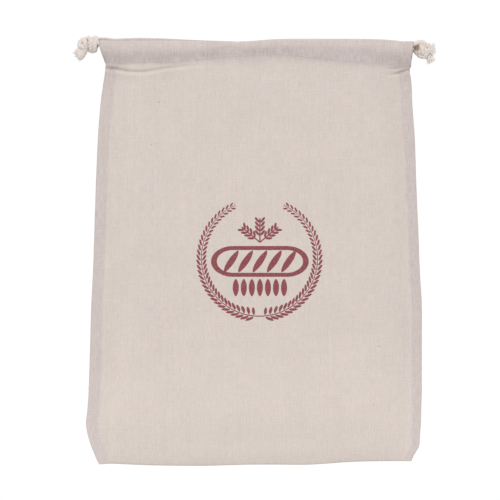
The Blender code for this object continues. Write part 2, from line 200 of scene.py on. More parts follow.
@dataclass(frozen=True)
class Form:
    """The bag's outer form: where its edges lie and how high its cloth stands.

    Attributes:
        length: Nominal length from foot fold to top fold.
        foot_level: Height up the bag of the foot fold.
        roll: Thickness of one channel hem round its cord.
        mouth_middle: Gap between the rolls in the middle.
        mouth_corner: Gap between the rolls at the corners.
        mouth_flat: Half width over which the gap stays full.
        mouth_closed: Half width at which the gap has its least.
        blend_power: How sharply the two rises meet at a corner.
    """

    length: float = 396.0
    foot_level: float = -200.0
    roll: float = 6.2
    mouth_middle: float = 4.8
    mouth_corner: float = 0.6
    mouth_flat: float = 85.0
    mouth_closed: float = 140.0
    blend_power: int = 8

    def left(self, level: float) -> float:
        """Return the left edge at a height up the bag."""
        return SIDES.read(level, 1)

    def right(self, level: float) -> float:
        """Return the right edge at a height up the bag."""
        return SIDES.read(level, 2)

    def front_top(self, x: float) -> float:
        """Return the height of the front's top fold at a place across."""
        return ENDS.read(x, 1)

    def back_top(self, x: float) -> float:
        """Return the height of the back's top fold at a place across."""
        return ENDS.read(x, 2)

    def foot(self, x: float) -> float:
        """Return the height of the foot fold at a place across."""
        return ENDS.read(x, 3)

    def mouth(self, x: float) -> float:
        """Return the gap between the two rolls at a place across."""
        closed = ease((abs(x) - self.mouth_flat) / (self.mouth_closed - self.mouth_flat))
        return blend(self.mouth_middle, self.mouth_corner, closed)

    def face(self, x: float, y: float) -> float:
        """Return the height of the front cloth's outer side, before its creases.

        Args:
            x: Place across the bag.
            y: Height up the bag.

        Returns:
            Its height above the surface the bag lies on.
        """
        side = max(min(x - self.left(y), self.right(y) - x), 0.0)
        up = max(y - self.foot(x), 0.0)
        section = max(self.front_top(x) - y, 0.0) * DRAWN_UP.read(x)
        power = self.blend_power
        low, high = SIDE_RISE.read(side), FOOT_RISE.read(up)
        pocket = (low**-power + high**-power) ** (-1 / power)
        crest = 2 * self.roll + self.mouth(x)
        return pocket + (crest - pocket) * ROLL_FALL.read(section)

    def cord(self, front: bool, x: float) -> tuple[float, float, float]:
        """Return where the middle of a channel's cord lies at a place across.

        Args:
            front: True for the front channel, False for the back one.
            x: Place across the bag.

        Returns:
            The point, in millimetres.
        """
        if front:
            return (x, self.front_top(x) - CORD_DEPTH.read(x, 1), 1.5 * self.roll + self.mouth(x))
        return (x, self.back_top(x) - CORD_DEPTH.read(x, 2), 0.5 * self.roll)


FORM = Form()


# --- Meshes ---


@dataclass
class Draft:
    """Points and faces of a piece while it is made, in millimetres.

    Attributes:
        points: Corners of the mesh.
        faces: Corner numbers of each face.
        uv: For each point, its place on the cloth or along the cord, in metres.
        marks: For each point, how far it lies in what the piece's finish marks, from 0 to 1.
    """

    points: list[tuple[float, float, float]]
    faces: list[tuple[int, ...]]
    uv: list[tuple[float, float]]
    marks: list[float]

    @classmethod
    def empty(cls) -> "Draft":
        """Return a draft with nothing in it."""
        return cls([], [], [], [])

    def add(self, other: "Draft") -> None:
        """Put another draft's points and faces in with these.

        Args:
            other: The other draft.
        """
        start = len(self.points)
        self.points += other.points
        self.faces += [tuple(start + i for i in face) for face in other.faces]
        self.uv += other.uv
        self.marks += other.marks

    def ring(self, middle: Vector, ways: tuple[Vector, Vector], size: float, sides: int, lay: tuple) -> None:
        """Add one plain ring of a thin tube.

        Args:
            middle: Its middle.
            ways: Two directions across the tube.
            size: Its radius.
            sides: Number of its points.
            lay: Width of the lay for each radian round it, and its place along the tube.
        """
        for i in range(sides):
            turn = 2 * math.pi * i / sides
            offset = ways[0] * math.cos(turn) + ways[1] * math.sin(turn)
            self.points.append(tuple(middle + offset * size))
            self.uv.append((turn * lay[0] * MM, lay[1] * MM))
            self.marks.append(0.0)

    def join(self, sides: int) -> None:
        """Add the faces between the last two rings of a tube.

        Args:
            sides: Number of points in a ring.
        """
        low = len(self.points) - 2 * sides
        for i in range(sides):
            j = (i + 1) % sides
            self.faces.append((low + i, low + j, low + sides + j, low + sides + i))

    def close(self, sides: int) -> None:
        """Close both ends of a tube.

        Args:
            sides: Number of points in a ring.
        """
        last = len(self.points) - sides
        self.faces.append(tuple(reversed(range(sides))))
        self.faces.append(tuple(range(last, last + sides)))

    def piece(self, name: str, finish: bpy.types.Material, slot: str) -> bpy.types.Object:
        """Make the mesh object, give it its finish, and let it ride on the bag.

        Args:
            name: Name of the piece.
            finish: Its material.
            slot: The record's material slot meant for the piece; not used.

        Returns:
            The object, at the origin, unturned and unscaled.
        """
        mesh = bpy.data.meshes.new(name)
        mesh.from_pydata([tuple(c * MM for c in p) for p in self.points], [], self.faces)
        layer = mesh.uv_layers.new(name="lay")
        for loop in mesh.loops:
            layer.data[loop.index].uv = self.uv[loop.vertex_index]
        mark = mesh.attributes.new("mark", "FLOAT", "POINT")
        mark.data.foreach_set("value", self.marks)
        mesh.materials.append(finish)
        mesh.shade_smooth()
        made = put_in_scene(bpy.data.objects.new(name, mesh))
        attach(made, BODY)
        return made


def put_in_scene(made: bpy.types.Object) -> bpy.types.Object:
    """Link an object to the scene and return it."""
    bpy.context.scene.collection.objects.link(made)
    return made


def apply_modifier(made: bpy.types.Object, name: str) -> None:
    """Apply one modifier of an object.

    Args:
        made: The object.
        name: Name of the modifier.
    """
    bpy.ops.object.select_all(action="DESELECT")
    bpy.context.view_layer.objects.active = made
    made.select_set(True)
    bpy.ops.object.modifier_apply(modifier=name)
    made.select_set(False)


# --- Shader maths ---

Number = float | int
Colour = tuple[float, float, float]
Link = bpy.types.NodeSocket


class Value:
    """A number socket of a material. Arithmetic on it adds the Math nodes."""

    def __init__(self, recipe: "Recipe", socket: Link) -> None:
        """Wrap a socket of a recipe."""
        self.recipe = recipe
        self.socket = socket

    def maths(self, operation: str, *others: "Value | Number") -> "Value":
        """Return the result of one Math node.

        Args:
            operation: The Math node's operation.
            others: Its further inputs.

        Returns:
            The node's value.
        """
        inputs = {i: v for i, v in enumerate((self, *others))}
        return Value(self.recipe, self.recipe.node("Math", {"operation": operation}, inputs))

    def __add__(self, other: "Value | Number") -> "Value":
        """Return the sum."""
        return self.maths("ADD", other)

    def __radd__(self, other: Number) -> "Value":
        """Return the sum."""
        return self.maths("ADD", other)

    def __sub__(self, other: "Value | Number") -> "Value":
        """Return the difference."""
        return self.maths("SUBTRACT", other)

    def __rsub__(self, other: Number) -> "Value":
        """Return the difference from a number."""
        return (self * -1) + other

    def __mul__(self, other: "Value | Number") -> "Value":
        """Return the product."""
        return self.maths("MULTIPLY", other)

    def __rmul__(self, other: Number) -> "Value":
        """Return the product."""
        return self.maths("MULTIPLY", other)

    def __truediv__(self, other: "Value | Number") -> "Value":
        """Return the quotient."""
        return self.maths("DIVIDE", other)

    def sine(self) -> "Value":
        """Return the sine."""
        return self.maths("SINE")

    def size(self) -> "Value":
        """Return the absolute value."""
        return self.maths("ABSOLUTE")

    def floor(self) -> "Value":
        """Return the whole number below."""
        return self.maths("FLOOR")

    def least(self, other: "Value | Number") -> "Value":
        """Return the lesser of two values."""
        return self.maths("MINIMUM", other)

    def most(self, other: "Value | Number") -> "Value":
        """Return the greater of two values."""
        return self.maths("MAXIMUM", other)

    def within(self, half: "Value") -> "Value":
        """Return 1 where this distance lies within a half width, 0 outside it or where it is nil."""
        return (half - self.size()).step(-0.2, 0.2) * half.step(0.02, 0.3)

    def cell(self) -> "Value":
        """Return the place within its whole step, from -0.5 to 0.5."""
        return self - self.floor() - 0.5

    def lobe(self, power: Number) -> "Value":
        """Return a hump that rises from 0 to 1 and falls to 0 as this goes from 0 to 1."""
        return (self * (1 - self) * 4).most(0.0).maths("POWER", power)

    def step(self, start: Number, end: Number) -> "Value":
        """Return a soft step.

        Args:
            start: Where the result is 0.
            end: Where the result is 1; it may be less than start.

        Returns:
            A value from 0 to 1.
        """
        rising = start < end
        inputs = {
            "Value": self,
            "From Min": min(start, end),
            "From Max": max(start, end),
            "To Min": 0.0 if rising else 1.0,
            "To Max": 1.0 if rising else 0.0,
        }
        settings = {"interpolation_type": "SMOOTHSTEP"}
        return Value(self.recipe, self.recipe.node("MapRange", settings, inputs, "Result"))


class Recipe:
    """A material being made: its node tree and the few ways that nodes are added to it."""

    def __init__(self, name: str) -> None:
        """Start a material with a Principled shader.

        Args:
            name: Name of the material.
        """
        self.material = bpy.data.materials.new(name)
        self.material.use_nodes = True
        self.tree = self.material.node_tree
        self.shader = self.tree.nodes["Principled BSDF"]

    def node(self, kind: str, settings: dict, inputs: dict, output: str | int = 0) -> Link:
        """Add a node.

        Args:
            kind: Its type, without the ShaderNode prefix.
            settings: Its own settings, by name.
            inputs: Values or links of its sockets, by name or number.
            output: The socket to return.

        Returns:
            That output socket.
        """
        made = self.tree.nodes.new(f"ShaderNode{kind}")
        for key, value in settings.items():
            setattr(made, key, value)
        for key, value in inputs.items():
            if isinstance(value, Value):
                value = value.socket
            if isinstance(value, Link):
                self.tree.links.new(value, made.inputs[key])
            else:
                made.inputs[key].default_value = value
        return made.outputs[output]

    def feed(self, name: str, source: Link) -> None:
        """Link a node's output to one of the shader's sockets."""
        self.tree.links.new(source, self.shader.inputs[name])

    def set(self, name: str, value: Number | tuple[float, ...]) -> None:
        """Set one of the shader's own sockets."""
        self.shader.inputs[name].default_value = value

    def bump(self, height: Value, strength: Number) -> None:
        """Feed the shader's normal with a relief, its height in millimetres."""
        inputs = {"Height": height, "Distance": MM, "Strength": strength}
        self.feed("Normal", self.node("Bump", {}, inputs))

    def parts(self, vector: Link) -> tuple[Value, Value, Value]:
        """Return a vector's three parts."""
        split = self.node("SeparateXYZ", {}, {"Vector": vector}, "X").node
        return tuple(Value(self, split.outputs[axis]) for axis in "XYZ")

    def place(self) -> tuple[Value, Value, Value]:
        """Return the place on the object, in millimetres."""
        spot = self.node("TexCoord", {}, {}, "Object")
        return tuple(part * 1000 for part in self.parts(spot))

    def lay(self) -> tuple[Value, Value]:
        """Return the place on the cloth or along the cord, in millimetres."""
        across, along, _ = self.parts(self.node("UVMap", {"uv_map": "lay"}, {}))
        return across * 1000, along * 1000

    def mark(self) -> Value:
        """Return what the mesh marks, from 0 to 1."""
        return Value(self, self.node("Attribute", {"attribute_name": "mark"}, {}, "Fac"))

    def grain(
        self, x: Value, y: Value, width: Number, length: Number, detail: Number, seed: Number
    ) -> Value:
        """Return a noise that is longer one way than the other.

        Args:
            x: Place along the first way.
            y: Place along the second way.
            width: Size of the grain along x.
            length: Size of the grain along y.
            detail: How much finer grain there is in it.
            seed: Where in the noise it is read.

        Returns:
            A value from -1 to 1, mostly about 0.
        """
        where = self.node("CombineXYZ", {}, {"X": x * (1 / width), "Y": y * (1 / length), "Z": seed})
        inputs = {"Vector": where, "Scale": 1.0, "Detail": detail, "Roughness": 0.55}
        noise_value = self.node("TexNoise", {"noise_dimensions": "3D"}, inputs, "Fac")
        return Value(self, noise_value) * 2 - 1

    def scaled(self, colour: Link | Colour, share: Value) -> Link:
        """Return a colour made lighter or darker by a share."""
        return self.node("VectorMath", {"operation": "SCALE"}, {0: colour, "Scale": share})

    def mixed(self, share: Value, first: Link | Colour, second: Link | Colour) -> Link:
        """Return two colours mixed, all first at 0 and all second at 1."""
        pair = [colour if isinstance(colour, Link) else (*colour, 1.0) for colour in (first, second)]
        return self.node("Mix", {"data_type": "RGBA"}, {0: share, 6: pair[0], 7: pair[1]}, 2)


# --- Finishes ---


@dataclass(frozen=True)
class Speck:
    """A fleck or faint stain in the cloth: its place, half sizes, strength and colour."""

    name: str
    x: float
    y: float
    half_x: float
    half_y: float
    strength: float
    colour: Colour


RUST: Colour = (0.42, 0.20, 0.10)
STRAW: Colour = (0.62, 0.44, 0.22)
SLATE: Colour = (0.36, 0.38, 0.46)

SPECKS = (
    Speck("red fleck", -91.6, 138.3, 1.2, 0.9, 0.5, RUST),
    Speck("brown fleck, left", -98.1, 98.6, 0.9, 1.2, 0.4, RUST),
    Speck("brown fleck, right", 113.1, 15.3, 0.8, 1.0, 0.45, RUST),
    Speck("brown slub", 114.0, -89.7, 2.6, 0.7, 0.4, RUST),
    Speck("brown fleck, low", 109.3, -143.9, 0.9, 0.9, 0.4, RUST),
    Speck("straw fleck", -57.9, 65.4, 1.1, 1.4, 0.45, STRAW),
    Speck("grey fleck, low", 57.9, -72.5, 1.0, 0.8, 0.4, SLATE),
    Speck("grey fleck, high", 105.6, 109.3, 0.9, 1.0, 0.35, SLATE),
    Speck("grey fleck, foot", -24.9, -154.0, 1.0, 0.8, 0.35, SLATE),
    Speck("grey fleck, left", -58.9, -141.6, 0.8, 0.9, 0.35, SLATE),
    Speck("orange fleck, left", -33.6, 23.0, 0.9, 2.2, 0.4, (0.85, 0.52, 0.22)),
    Speck("orange fleck, right", 66.7, 6.0, 0.9, 1.6, 0.4, (0.85, 0.52, 0.22)),
    Speck("faint streak", 3.0, -22.0, 5.5, 30.0, 0.12, STRAW),
    Speck("faint blotch", 72.0, -141.0, 15.0, 9.0, 0.1, STRAW),
)


@dataclass(frozen=True)
class Wreath:
    """A printed laurel wreath: two branches that grow from the foot of a ring up both its sides.

    Attributes:
        x: Middle of the ring across the bag.
        y: Middle of the ring up the bag.
        radius: Radius of the stem.
        stem: Half width of the stem.
        opening_deg: Half angle of the gap between the branches' tips.
        spacing: Distance along the stem from leaf to leaf.
        first_leaf: Distance along the stem from the foot of the ring to the first leaf.
        gap: Clear distance between stem and leaf.
        length: Length of a leaf at the foot.
        tip_length: Length of a leaf at the tip.
        width: Half width of a leaf at the foot.
        tip_width: Half width of a leaf at the tip.
        lean_deg: Angle between a leaf and the stem.
        upright_deg: That angle for the inner leaves at the foot.
        upright_share: Share of the branch over which they come to lean as the others do.
    """

    x: float = 2.8
    y: float = -7.1
    radius: float = 54.2
    stem: float = 0.52
    opening_deg: float = 24.0
    spacing: float = 4.55
    first_leaf: float = 3.0
    gap: float = 0.7
    length: float = 7.6
    tip_length: float = 4.2
    width: float = 1.42
    tip_width: float = 1.0
    lean_deg: float = 42.0
    upright_deg: float = 84.0
    upright_share: float = 0.24

    def leaves(self, along: Value, out: Value, grown: Value, lean: Value) -> Value:
        """Return the mask of one row of leaves.

        Args:
            along: Distance along the stem in the direction of growth.
            out: Distance from the stem towards the row's side.
            grown: Share of the branch grown, from 0 at the foot to 1 at the tip.
            lean: Cotangent of the angle between leaf and stem.

        Returns:
            A value of 1 in a leaf and 0 outside it.
        """
        shifted = (along - out * lean - self.first_leaf) / self.spacing
        across = shifted.cell() * self.spacing
        sine = (lean * lean + 1).maths("POWER", -0.5)
        late = grown.maths("POWER", 1.5)
        length = late * (self.tip_length - self.length) + self.length
        width = late * (self.tip_width - self.width) + self.width
        share = (out - self.gap) / (length * sine)
        half = share.lobe(0.75) * width / sine
        return across.within(half) * shifted.step(-0.05, 0.0)

    def mask(self, x: Value, y: Value) -> Value:
        """Return the wreath's mask.

        Args:
            x: Place across the bag.
            y: Height up the bag.

        Returns:
            A value of 1 in the ink and 0 outside it.
        """
        side, up = (x - self.x).size(), y - self.y
        far = (side * side + up * up).maths("SQRT")
        turned = side.maths("ARCTAN2", up * -1)
        along, out = turned * self.radius, far - self.radius
        end = math.radians(180 - self.opening_deg)
        grown = (turned * (1 / end)).least(1.0)
        lean = 1 / math.tan(math.radians(self.lean_deg))
        upright = 1 / math.tan(math.radians(self.upright_deg))
        inner_lean = grown.step(0.0, self.upright_share) * (lean - upright) + upright
        outer = self.leaves(along, out, grown, grown * 0.0 + lean)
        inner = self.leaves(along, out * -1, grown, inner_lean)
        stem = (grown * -0.2 + self.stem - out.size()).step(-0.15, 0.15)
        return outer.most(inner).most(stem) * turned.step(end, end - 0.02)


@dataclass(frozen=True)
class Row:
    """A row of lens shapes side by side.

    Attributes:
        pitch: Distance from one to the next.
        half: Half width of one.
        count: How many there are.
        power: How slender their ends are.
    """

    pitch: float
    half: float
    count: int
    power: float

    def mask(self, place: Value, share: Value) -> Value:
        """Return the row's mask.

        Args:
            place: Place along the row, from 0 at its start to its count at its end.
            share: Place across the row, from 0 at one end of a lens to 1 at the other.

        Returns:
            A value of 1 in a lens and 0 outside it.
        """
        lens = (place.cell() * self.pitch).within(share.lobe(self.power) * self.half)
        return lens * place.step(-0.02, 0.02) * place.step(self.count + 0.02, self.count - 0.02)


@dataclass(frozen=True)
class BreadMotif:
    """A generic motif inside the wreath: ears of wheat over a scored loaf over a row of grains.

    Attributes:
        x: Middle of the motif across the bag.
        ears_y: Foot of the three ears.
        ear_lean_deg: How far the outer ears lean.
        ear_height: Height of an ear's stem.
        ear_stem: Half width of that stem.
        ear_gap: Distance from the middle of the stem to a corn's foot.
        corns: The corns up one side of an ear.
        corn_first: Height of the first corn.
        corn_lean: How much higher a corn's tip is than its foot, for each millimetre out.
        corn_reach: Length of a corn, across the ear.
        loaf_y: Middle of the loaf.
        loaf_flat: Half length of the loaf's even middle.
        loaf_half_y: Half height of the loaf.
        loaf_taper: How far its ends are drawn out, 1 being round.
        crust: Thickness of the loaf's outline.
        scores: The scores across it.
        score_slant: How far a score leans, for each millimetre up.
        score_reach: Half height of the scores, as a share of the loaf's.
        grains: The grains below the loaf.
        grains_y: Middle of their row.
        grain_half_y: Half height of a grain.
    """

    x: float = 3.2
    ears_y: float = 7.6
    ear_lean_deg: float = 50.0
    ear_height: float = 21.0
    ear_stem: float = 0.65
    ear_gap: float = 0.4
    corns: Row = Row(pitch=4.0, half=1.75, count=4, power=0.6)
    corn_first: float = 4.6
    corn_lean: float = 0.9
    corn_reach: float = 4.4
    loaf_y: float = -10.2
    loaf_flat: float = 25.0
    loaf_half_y: float = 14.4
    loaf_taper: float = 0.7
    crust: float = 3.8
    scores: Row = Row(pitch=13.4, half=3.5, count=5, power=0.7)
    score_slant: float = 0.62
    score_reach: float = 0.72
    grains: Row = Row(pitch=7.5, half=2.85, count=7, power=0.7)
    grains_y: float = -34.6
    grain_half_y: float = 8.2

    def ear(self, x: Value, y: Value, lean_deg: float) -> Value:
        """Return the mask of one ear of wheat that grows from the motif's middle.

        Args:
            x: Distance across from the ear's foot.
            y: Height above the ear's foot.
            lean_deg: How far the ear leans to the right.

        Returns:
            A value of 1 in the ink and 0 outside it.
        """
        turn = math.radians(lean_deg)
        along = x * math.sin(turn) + y * math.cos(turn)
        out = (x * math.cos(turn) - y * math.sin(turn)).size()
        place = (along - out * self.corn_lean - self.corn_first) / self.corns.pitch
        corns = self.corns.mask(place, (out - self.ear_gap) / self.corn_reach)
        top = self.ear_height
        rise = along.step(-0.5, 0.5) * along.step(top + 0.5, top - 0.5)
        stem = (self.ear_stem - out).step(-0.2, 0.2) * rise
        tip = ((top + 2.4 - along) * 0.34 - out).step(-0.2, 0.2) * along.step(top - 3.0, top - 1.8)
        return corns.most(stem).most(tip)

    def loaf(self, x: Value, y: Value) -> Value:
        """Return the mask of the loaf: its outline and five slanting scores.

        Args:
            x: Distance across from the loaf's middle.
            y: Height above the loaf's middle.

        Returns:
            A value of 1 in the ink and 0 outside it.
        """
        end = ((x.size() - self.loaf_flat) * self.loaf_taper).most(0.0)
        inside = self.loaf_half_y - (end * end + y * y).maths("SQRT")
        rim = inside.step(-0.25, 0.25) * inside.step(self.crust + 0.25, self.crust - 0.25)
        place = (x - y * self.score_slant) / self.scores.pitch + self.scores.count / 2
        reach = self.loaf_half_y * self.score_reach
        return rim.most(self.scores.mask(place, (y + reach) / (2 * reach)))

    def mask(self, x: Value, y: Value) -> Value:
        """Return the whole motif's mask.

        Args:
            x: Place across the bag.
            y: Height up the bag.

        Returns:
            A value of 1 in the ink and 0 outside it.
        """
        side = x - self.x
        rise = y - self.ears_y
        lean = self.ear_lean_deg
        ears = self.ear(side, rise, 0.0).most(self.ear(side, rise, lean)).most(self.ear(side, rise, -lean))
        loaf = self.loaf(side, y - self.loaf_y)
        place = side / self.grains.pitch + self.grains.count / 2
        share = (y - self.grains_y + self.grain_half_y) / (2 * self.grain_half_y)
        return ears.most(loaf).most(self.grains.mask(place, share))


@dataclass(frozen=True)
class Grain:
    """One grain of the linen.

    Attributes:
        width: Its size across the cloth.
        length: Its size along the cloth.
        detail: How much finer grain there is in it.
        seed: Where in the noise it is read.
        tone: Its share in the colour.
        relief: Its share in the relief.
        shaded: Its further share in the colour of turned-in cloth and of the painted shade on the rolls.
    """

    width: float
    length: float
    detail: float
    seed: float
    tone: float
    relief: float = 0.0
    shaded: float = 0.0


GRAINS = {
    "warp": Grain(2.4, 70.0, 3.0, 1.0, 0.052, 0.04),
    "weft": Grain(60.0, 2.0, 3.0, 2.0, 0.030, 0.04),
    "upright slubs": Grain(0.9, 8.0, 2.0, 3.0, 0.115, 0.06, 0.08),
    "level slubs": Grain(8.0, 0.9, 2.0, 13.0, 0.075, 0.06, 0.03),
    "cloudiness": Grain(26.0, 34.0, 3.0, 4.0, 0.045),
    "fibres": Grain(1.1, 1.1, 2.0, 5.0, 0.085, 0.05, 0.07),
}


@dataclass(frozen=True)
class Linen:
    """Plain woven unbleached linen and cotton, with slubs, flecks and, on the front, its print.

    Attributes:
        name: Name of the material.
        single: Colour where the cloth lies single.
        doubled_and_shade: Colour where it lies on turned-in cloth, which the painted shade on the rolls also
            takes.
        ink: Colour of the print.
        yarn: Width of one yarn.
        printed: Whether it carries the print.
        roughness: Roughness of the cloth.
        painted_foot_light: How much paler the cloth is painted towards the foot, a painted light that evens
            out the shade on the foot's slope.
        channel_shade: How much darker painted shade makes it where its mark passes 1, under the front roll
            and where the two rolls meet.
        sway: How far the yarns sway from their lines.
        weave_tone: Share of the weave in the colour.
        weave_relief: Share of the weave in the relief.
        warm_tint: What the warmer streaks multiply the colour by.
        warm_share: How strong those streaks are.
        ragged: How ragged the print's edges are.
        worn: How much of the ink is worn off in places.
    """

    name: str
    single: Colour = (0.687, 0.608, 0.560)
    doubled_and_shade: Colour = (0.616, 0.542, 0.520)
    ink: Colour = (0.268, 0.066, 0.078)
    yarn: float = 0.62
    printed: bool = True
    roughness: float = 0.92
    painted_foot_light: float = 0.062
    channel_shade: float = 0.12
    sway: float = 1.4
    weave_tone: float = 0.015
    weave_relief: float = 0.04
    warm_tint: Colour = (1.0, 0.982, 0.95)
    warm_share: float = 0.7
    ragged: float = 0.3
    worn: float = 0.4

    def weave(self, recipe: Recipe, across: Value, along: Value) -> Value:
        """Return the height of the plain weave.

        Args:
            recipe: The material.
            across: Place across the cloth.
            along: Place along the cloth.

        Returns:
            A value from -1 to 1.
        """
        sway = recipe.grain(across, along, 4.0, 5.0, 2.0, 7.0) * self.sway
        drift = recipe.grain(across, along, 5.0, 4.0, 2.0, 17.0) * self.sway
        turn = math.pi / self.yarn
        return ((across + sway) * turn).sine() * ((along + drift) * turn).sine()

    def material(self) -> bpy.types.Material:
        """Return the material.

        Returns:
            The cloth's material, which reads the mesh's "lay" and "mark".
        """
        recipe = Recipe(self.name)
        across, along = recipe.lay()
        x, y, z = recipe.place()
        doubled_and_shade = recipe.mark()
        weave = self.weave(recipe, across, along)
        tone, relief = weave * self.weave_tone + 1, weave * self.weave_relief
        reads = {}
        for name, grain in GRAINS.items():
            read = recipe.grain(across, along, grain.width, grain.length, grain.detail, grain.seed)
            tone = tone + read * (doubled_and_shade * grain.shaded + grain.tone)
            relief = relief + read * grain.relief
            reads[name] = read
        # Painted light: towards the foot the cloth is painted up to this much paler, against the shade on the
        # foot's slope.
        # Painted shade: where the mark passes 1 the cloth is darkened, under the front roll and where the two
        # rolls meet.
        tone = tone - (doubled_and_shade - 1).most(0.0) * self.channel_shade + y.step(-40.0, -195.0) * self.painted_foot_light
        colour = recipe.scaled(recipe.mixed(doubled_and_shade.least(1.0), self.single, self.doubled_and_shade), tone)
        streak = recipe.grain(across, along, 4.4, 50.0, 3.0, 9.0).step(-0.2, 0.6) * self.warm_share
        warmer = recipe.node("VectorMath", {"operation": "MULTIPLY"}, {0: colour, 1: self.warm_tint})
        colour = recipe.mixed(streak, colour, warmer)
        if self.printed:
            cover = (weave * 0.04 + reads["fibres"] * 0.08 + 1.02) * z.step(7.0, 8.0)
            colour = self.inked(recipe, self.flecked(recipe, colour, x, y), x, y, cover)
        recipe.feed("Base Color", colour)
        recipe.set("Roughness", self.roughness)
        recipe.set("Specular IOR Level", 0.2)
        recipe.bump(relief, 0.5)
        return recipe.material

    def flecked(self, recipe: Recipe, colour: Link, x: Value, y: Value) -> Link:
        """Return a colour with the flecks and stains laid over it.

        Args:
            recipe: The material.
            colour: The colour below.
            x: Place across the bag.
            y: Height up the bag.

        Returns:
            The new colour.
        """
        uneven = recipe.grain(x, y, 3.0, 3.0, 2.0, 11.0) * 0.35
        for speck in SPECKS:
            u = (x - speck.x) / speck.half_x
            v = (y - speck.y) / speck.half_y
            far = (u * u + v * v).maths("SQRT") + uneven
            colour = recipe.mixed(far.step(1.15, 0.2) * speck.strength, colour, speck.colour)
        return colour

    def inked(self, recipe: Recipe, colour: Link, x: Value, y: Value, cover: Value) -> Link:
        """Return a colour with the print laid over it.

        Args:
            recipe: The material.
            colour: The colour below.
            x: Place across the bag.
            y: Height up the bag.
            cover: How well the ink covers the cloth there.

        Returns:
            The new colour.
        """
        edge_x = x + recipe.grain(x, y, 0.9, 0.9, 1.0, 21.0) * self.ragged
        edge_y = y + recipe.grain(x, y, 0.9, 0.9, 1.0, 31.0) * self.ragged
        print_mask = Wreath().mask(edge_x, edge_y).most(BreadMotif().mask(edge_x, edge_y))
        worn = recipe.grain(x, y, 1.0, 1.3, 3.0, 41.0).step(-0.1, 0.7) * self.worn
        return recipe.mixed(((cover - worn) * print_mask).least(1.0), colour, self.ink)


@dataclass(frozen=True)
class Cotton:
    """Soft twisted cotton: cream on its crowns, with shade painted ochre and darker in its recesses.

    Attributes:
        name: Name of the material.
        crown: Colour of the outer fibres.
        recess_shade: Painted shade between the plies, in ochre.
        fibre: Width of the fibres' grain.
        painted_glow: Painted light that the fibres give off as a glow, as a share of white.
    """

    name: str
    crown: Colour = (0.775, 0.71, 0.67)
    recess_shade: Colour = (0.54, 0.37, 0.22)
    fibre: float = 0.35
    painted_glow: float = 0.0

    def material(self) -> bpy.types.Material:
        """Return the material.

        Returns:
            The cord's material, which reads the mesh's "lay" and "mark".
        """
        recipe = Recipe(self.name)
        across, along = recipe.lay()
        x, y, z = recipe.place()
        strands = recipe.grain(across + along * 0.5, along, self.fibre, 4.0, 2.0, 1.0)
        wool = recipe.grain(x, y, 0.8, 0.8, 3.0, 2.0)
        # Painted shade: grooves and sunk strands take the ochre recess colour.
        depth = (recipe.mark() + strands * 0.1).step(0.25, 1.05)
        colour = recipe.mixed(depth, self.crown, self.recess_shade)
        # Painted light: the cord is painted up to 10% lighter the higher it stands above the table.
        colour = recipe.scaled(colour, strands * 0.1 + wool * 0.08 + z.step(-2.0, 6.0) * 0.1 + 0.93)
        recipe.feed("Base Color", colour)
        recipe.set("Roughness", 0.96)
        recipe.set("Specular IOR Level", 0.15)
        recipe.set("Emission Color", (*self.crown, 1.0))
        recipe.set("Emission Strength", self.painted_glow)
        recipe.bump(strands * 0.1 + wool * 0.1, 0.8)
        return recipe.material


@dataclass(frozen=True)
class Thread:
    """Sewing thread in the cloth's own colour, with a fine twist.

    Attributes:
        name: Name of the material.
        colour: Its colour.
        twist: Length of one turn of its twist.
    """

    name: str
    colour: Colour = (0.64, 0.57, 0.53)
    twist: float = 0.5

    def material(self) -> bpy.types.Material:
        """Return the material.

        Returns:
            The thread's material, which reads the mesh's "lay".
        """
        recipe = Recipe(self.name)
        across, along = recipe.lay()
        twist = ((along + across * 0.4) * (2 * math.pi / self.twist)).sine()
        uneven = recipe.grain(along, across, 5.0, 5.0, 2.0, 1.0)
        recipe.feed("Base Color", recipe.scaled(self.colour, twist * 0.05 + uneven * 0.08 + 1))
        recipe.set("Roughness", 0.8)
        return recipe.material


# --- The cloth ---


class Zone(Enum):
    """The stretches of the cloth from its front end to its back end."""

    FRONT_TURN_UNDER = 1
    FRONT_HEM = 2
    FRONT_FOLD = 3
    FRONT = 4
    FOOT = 5
    BACK = 6
    BACK_FOLD = 7
    BACK_HEM = 8
    BACK_TURN_UNDER = 9


@dataclass(frozen=True)
class Crease:
    """A crease in the front: a line of points, each with a depth; a negative depth is a ridge.

    Attributes:
        name: What it is.
        line: Points along it: place across, height up, depth.
        above: Half width on its upper side.
        below: Half width on its lower side.
    """

    name: str
    line: tuple[tuple[float, float, float], ...]
    above: float
    below: float

    def press(self, x: float, y: float) -> float:
        """Return how far this crease presses the cloth down at a point.

        Args:
            x: Place across the bag.
            y: Height up the bag.

        Returns:
            The depth, which is less than 0 on a ridge.
        """
        best, depth, upper = math.inf, 0.0, True
        for (x1, y1, d1), (x2, y2, d2) in zip(self.line, self.line[1:]):
            run, rise = x2 - x1, y2 - y1
            share = ((x - x1) * run + (y - y1) * rise) / (run * run + rise * rise)
            share = min(max(share, 0.0), 1.0)
            away = math.hypot(x - x1 - run * share, y - y1 - rise * share)
            if away < best:
                best, depth, upper = away, blend(d1, d2, share), y > y1 + rise * share
        if best > 3 * max(self.above, self.below):
            return 0.0
        return depth * math.exp(-((best / (self.above if upper else self.below)) ** 2))


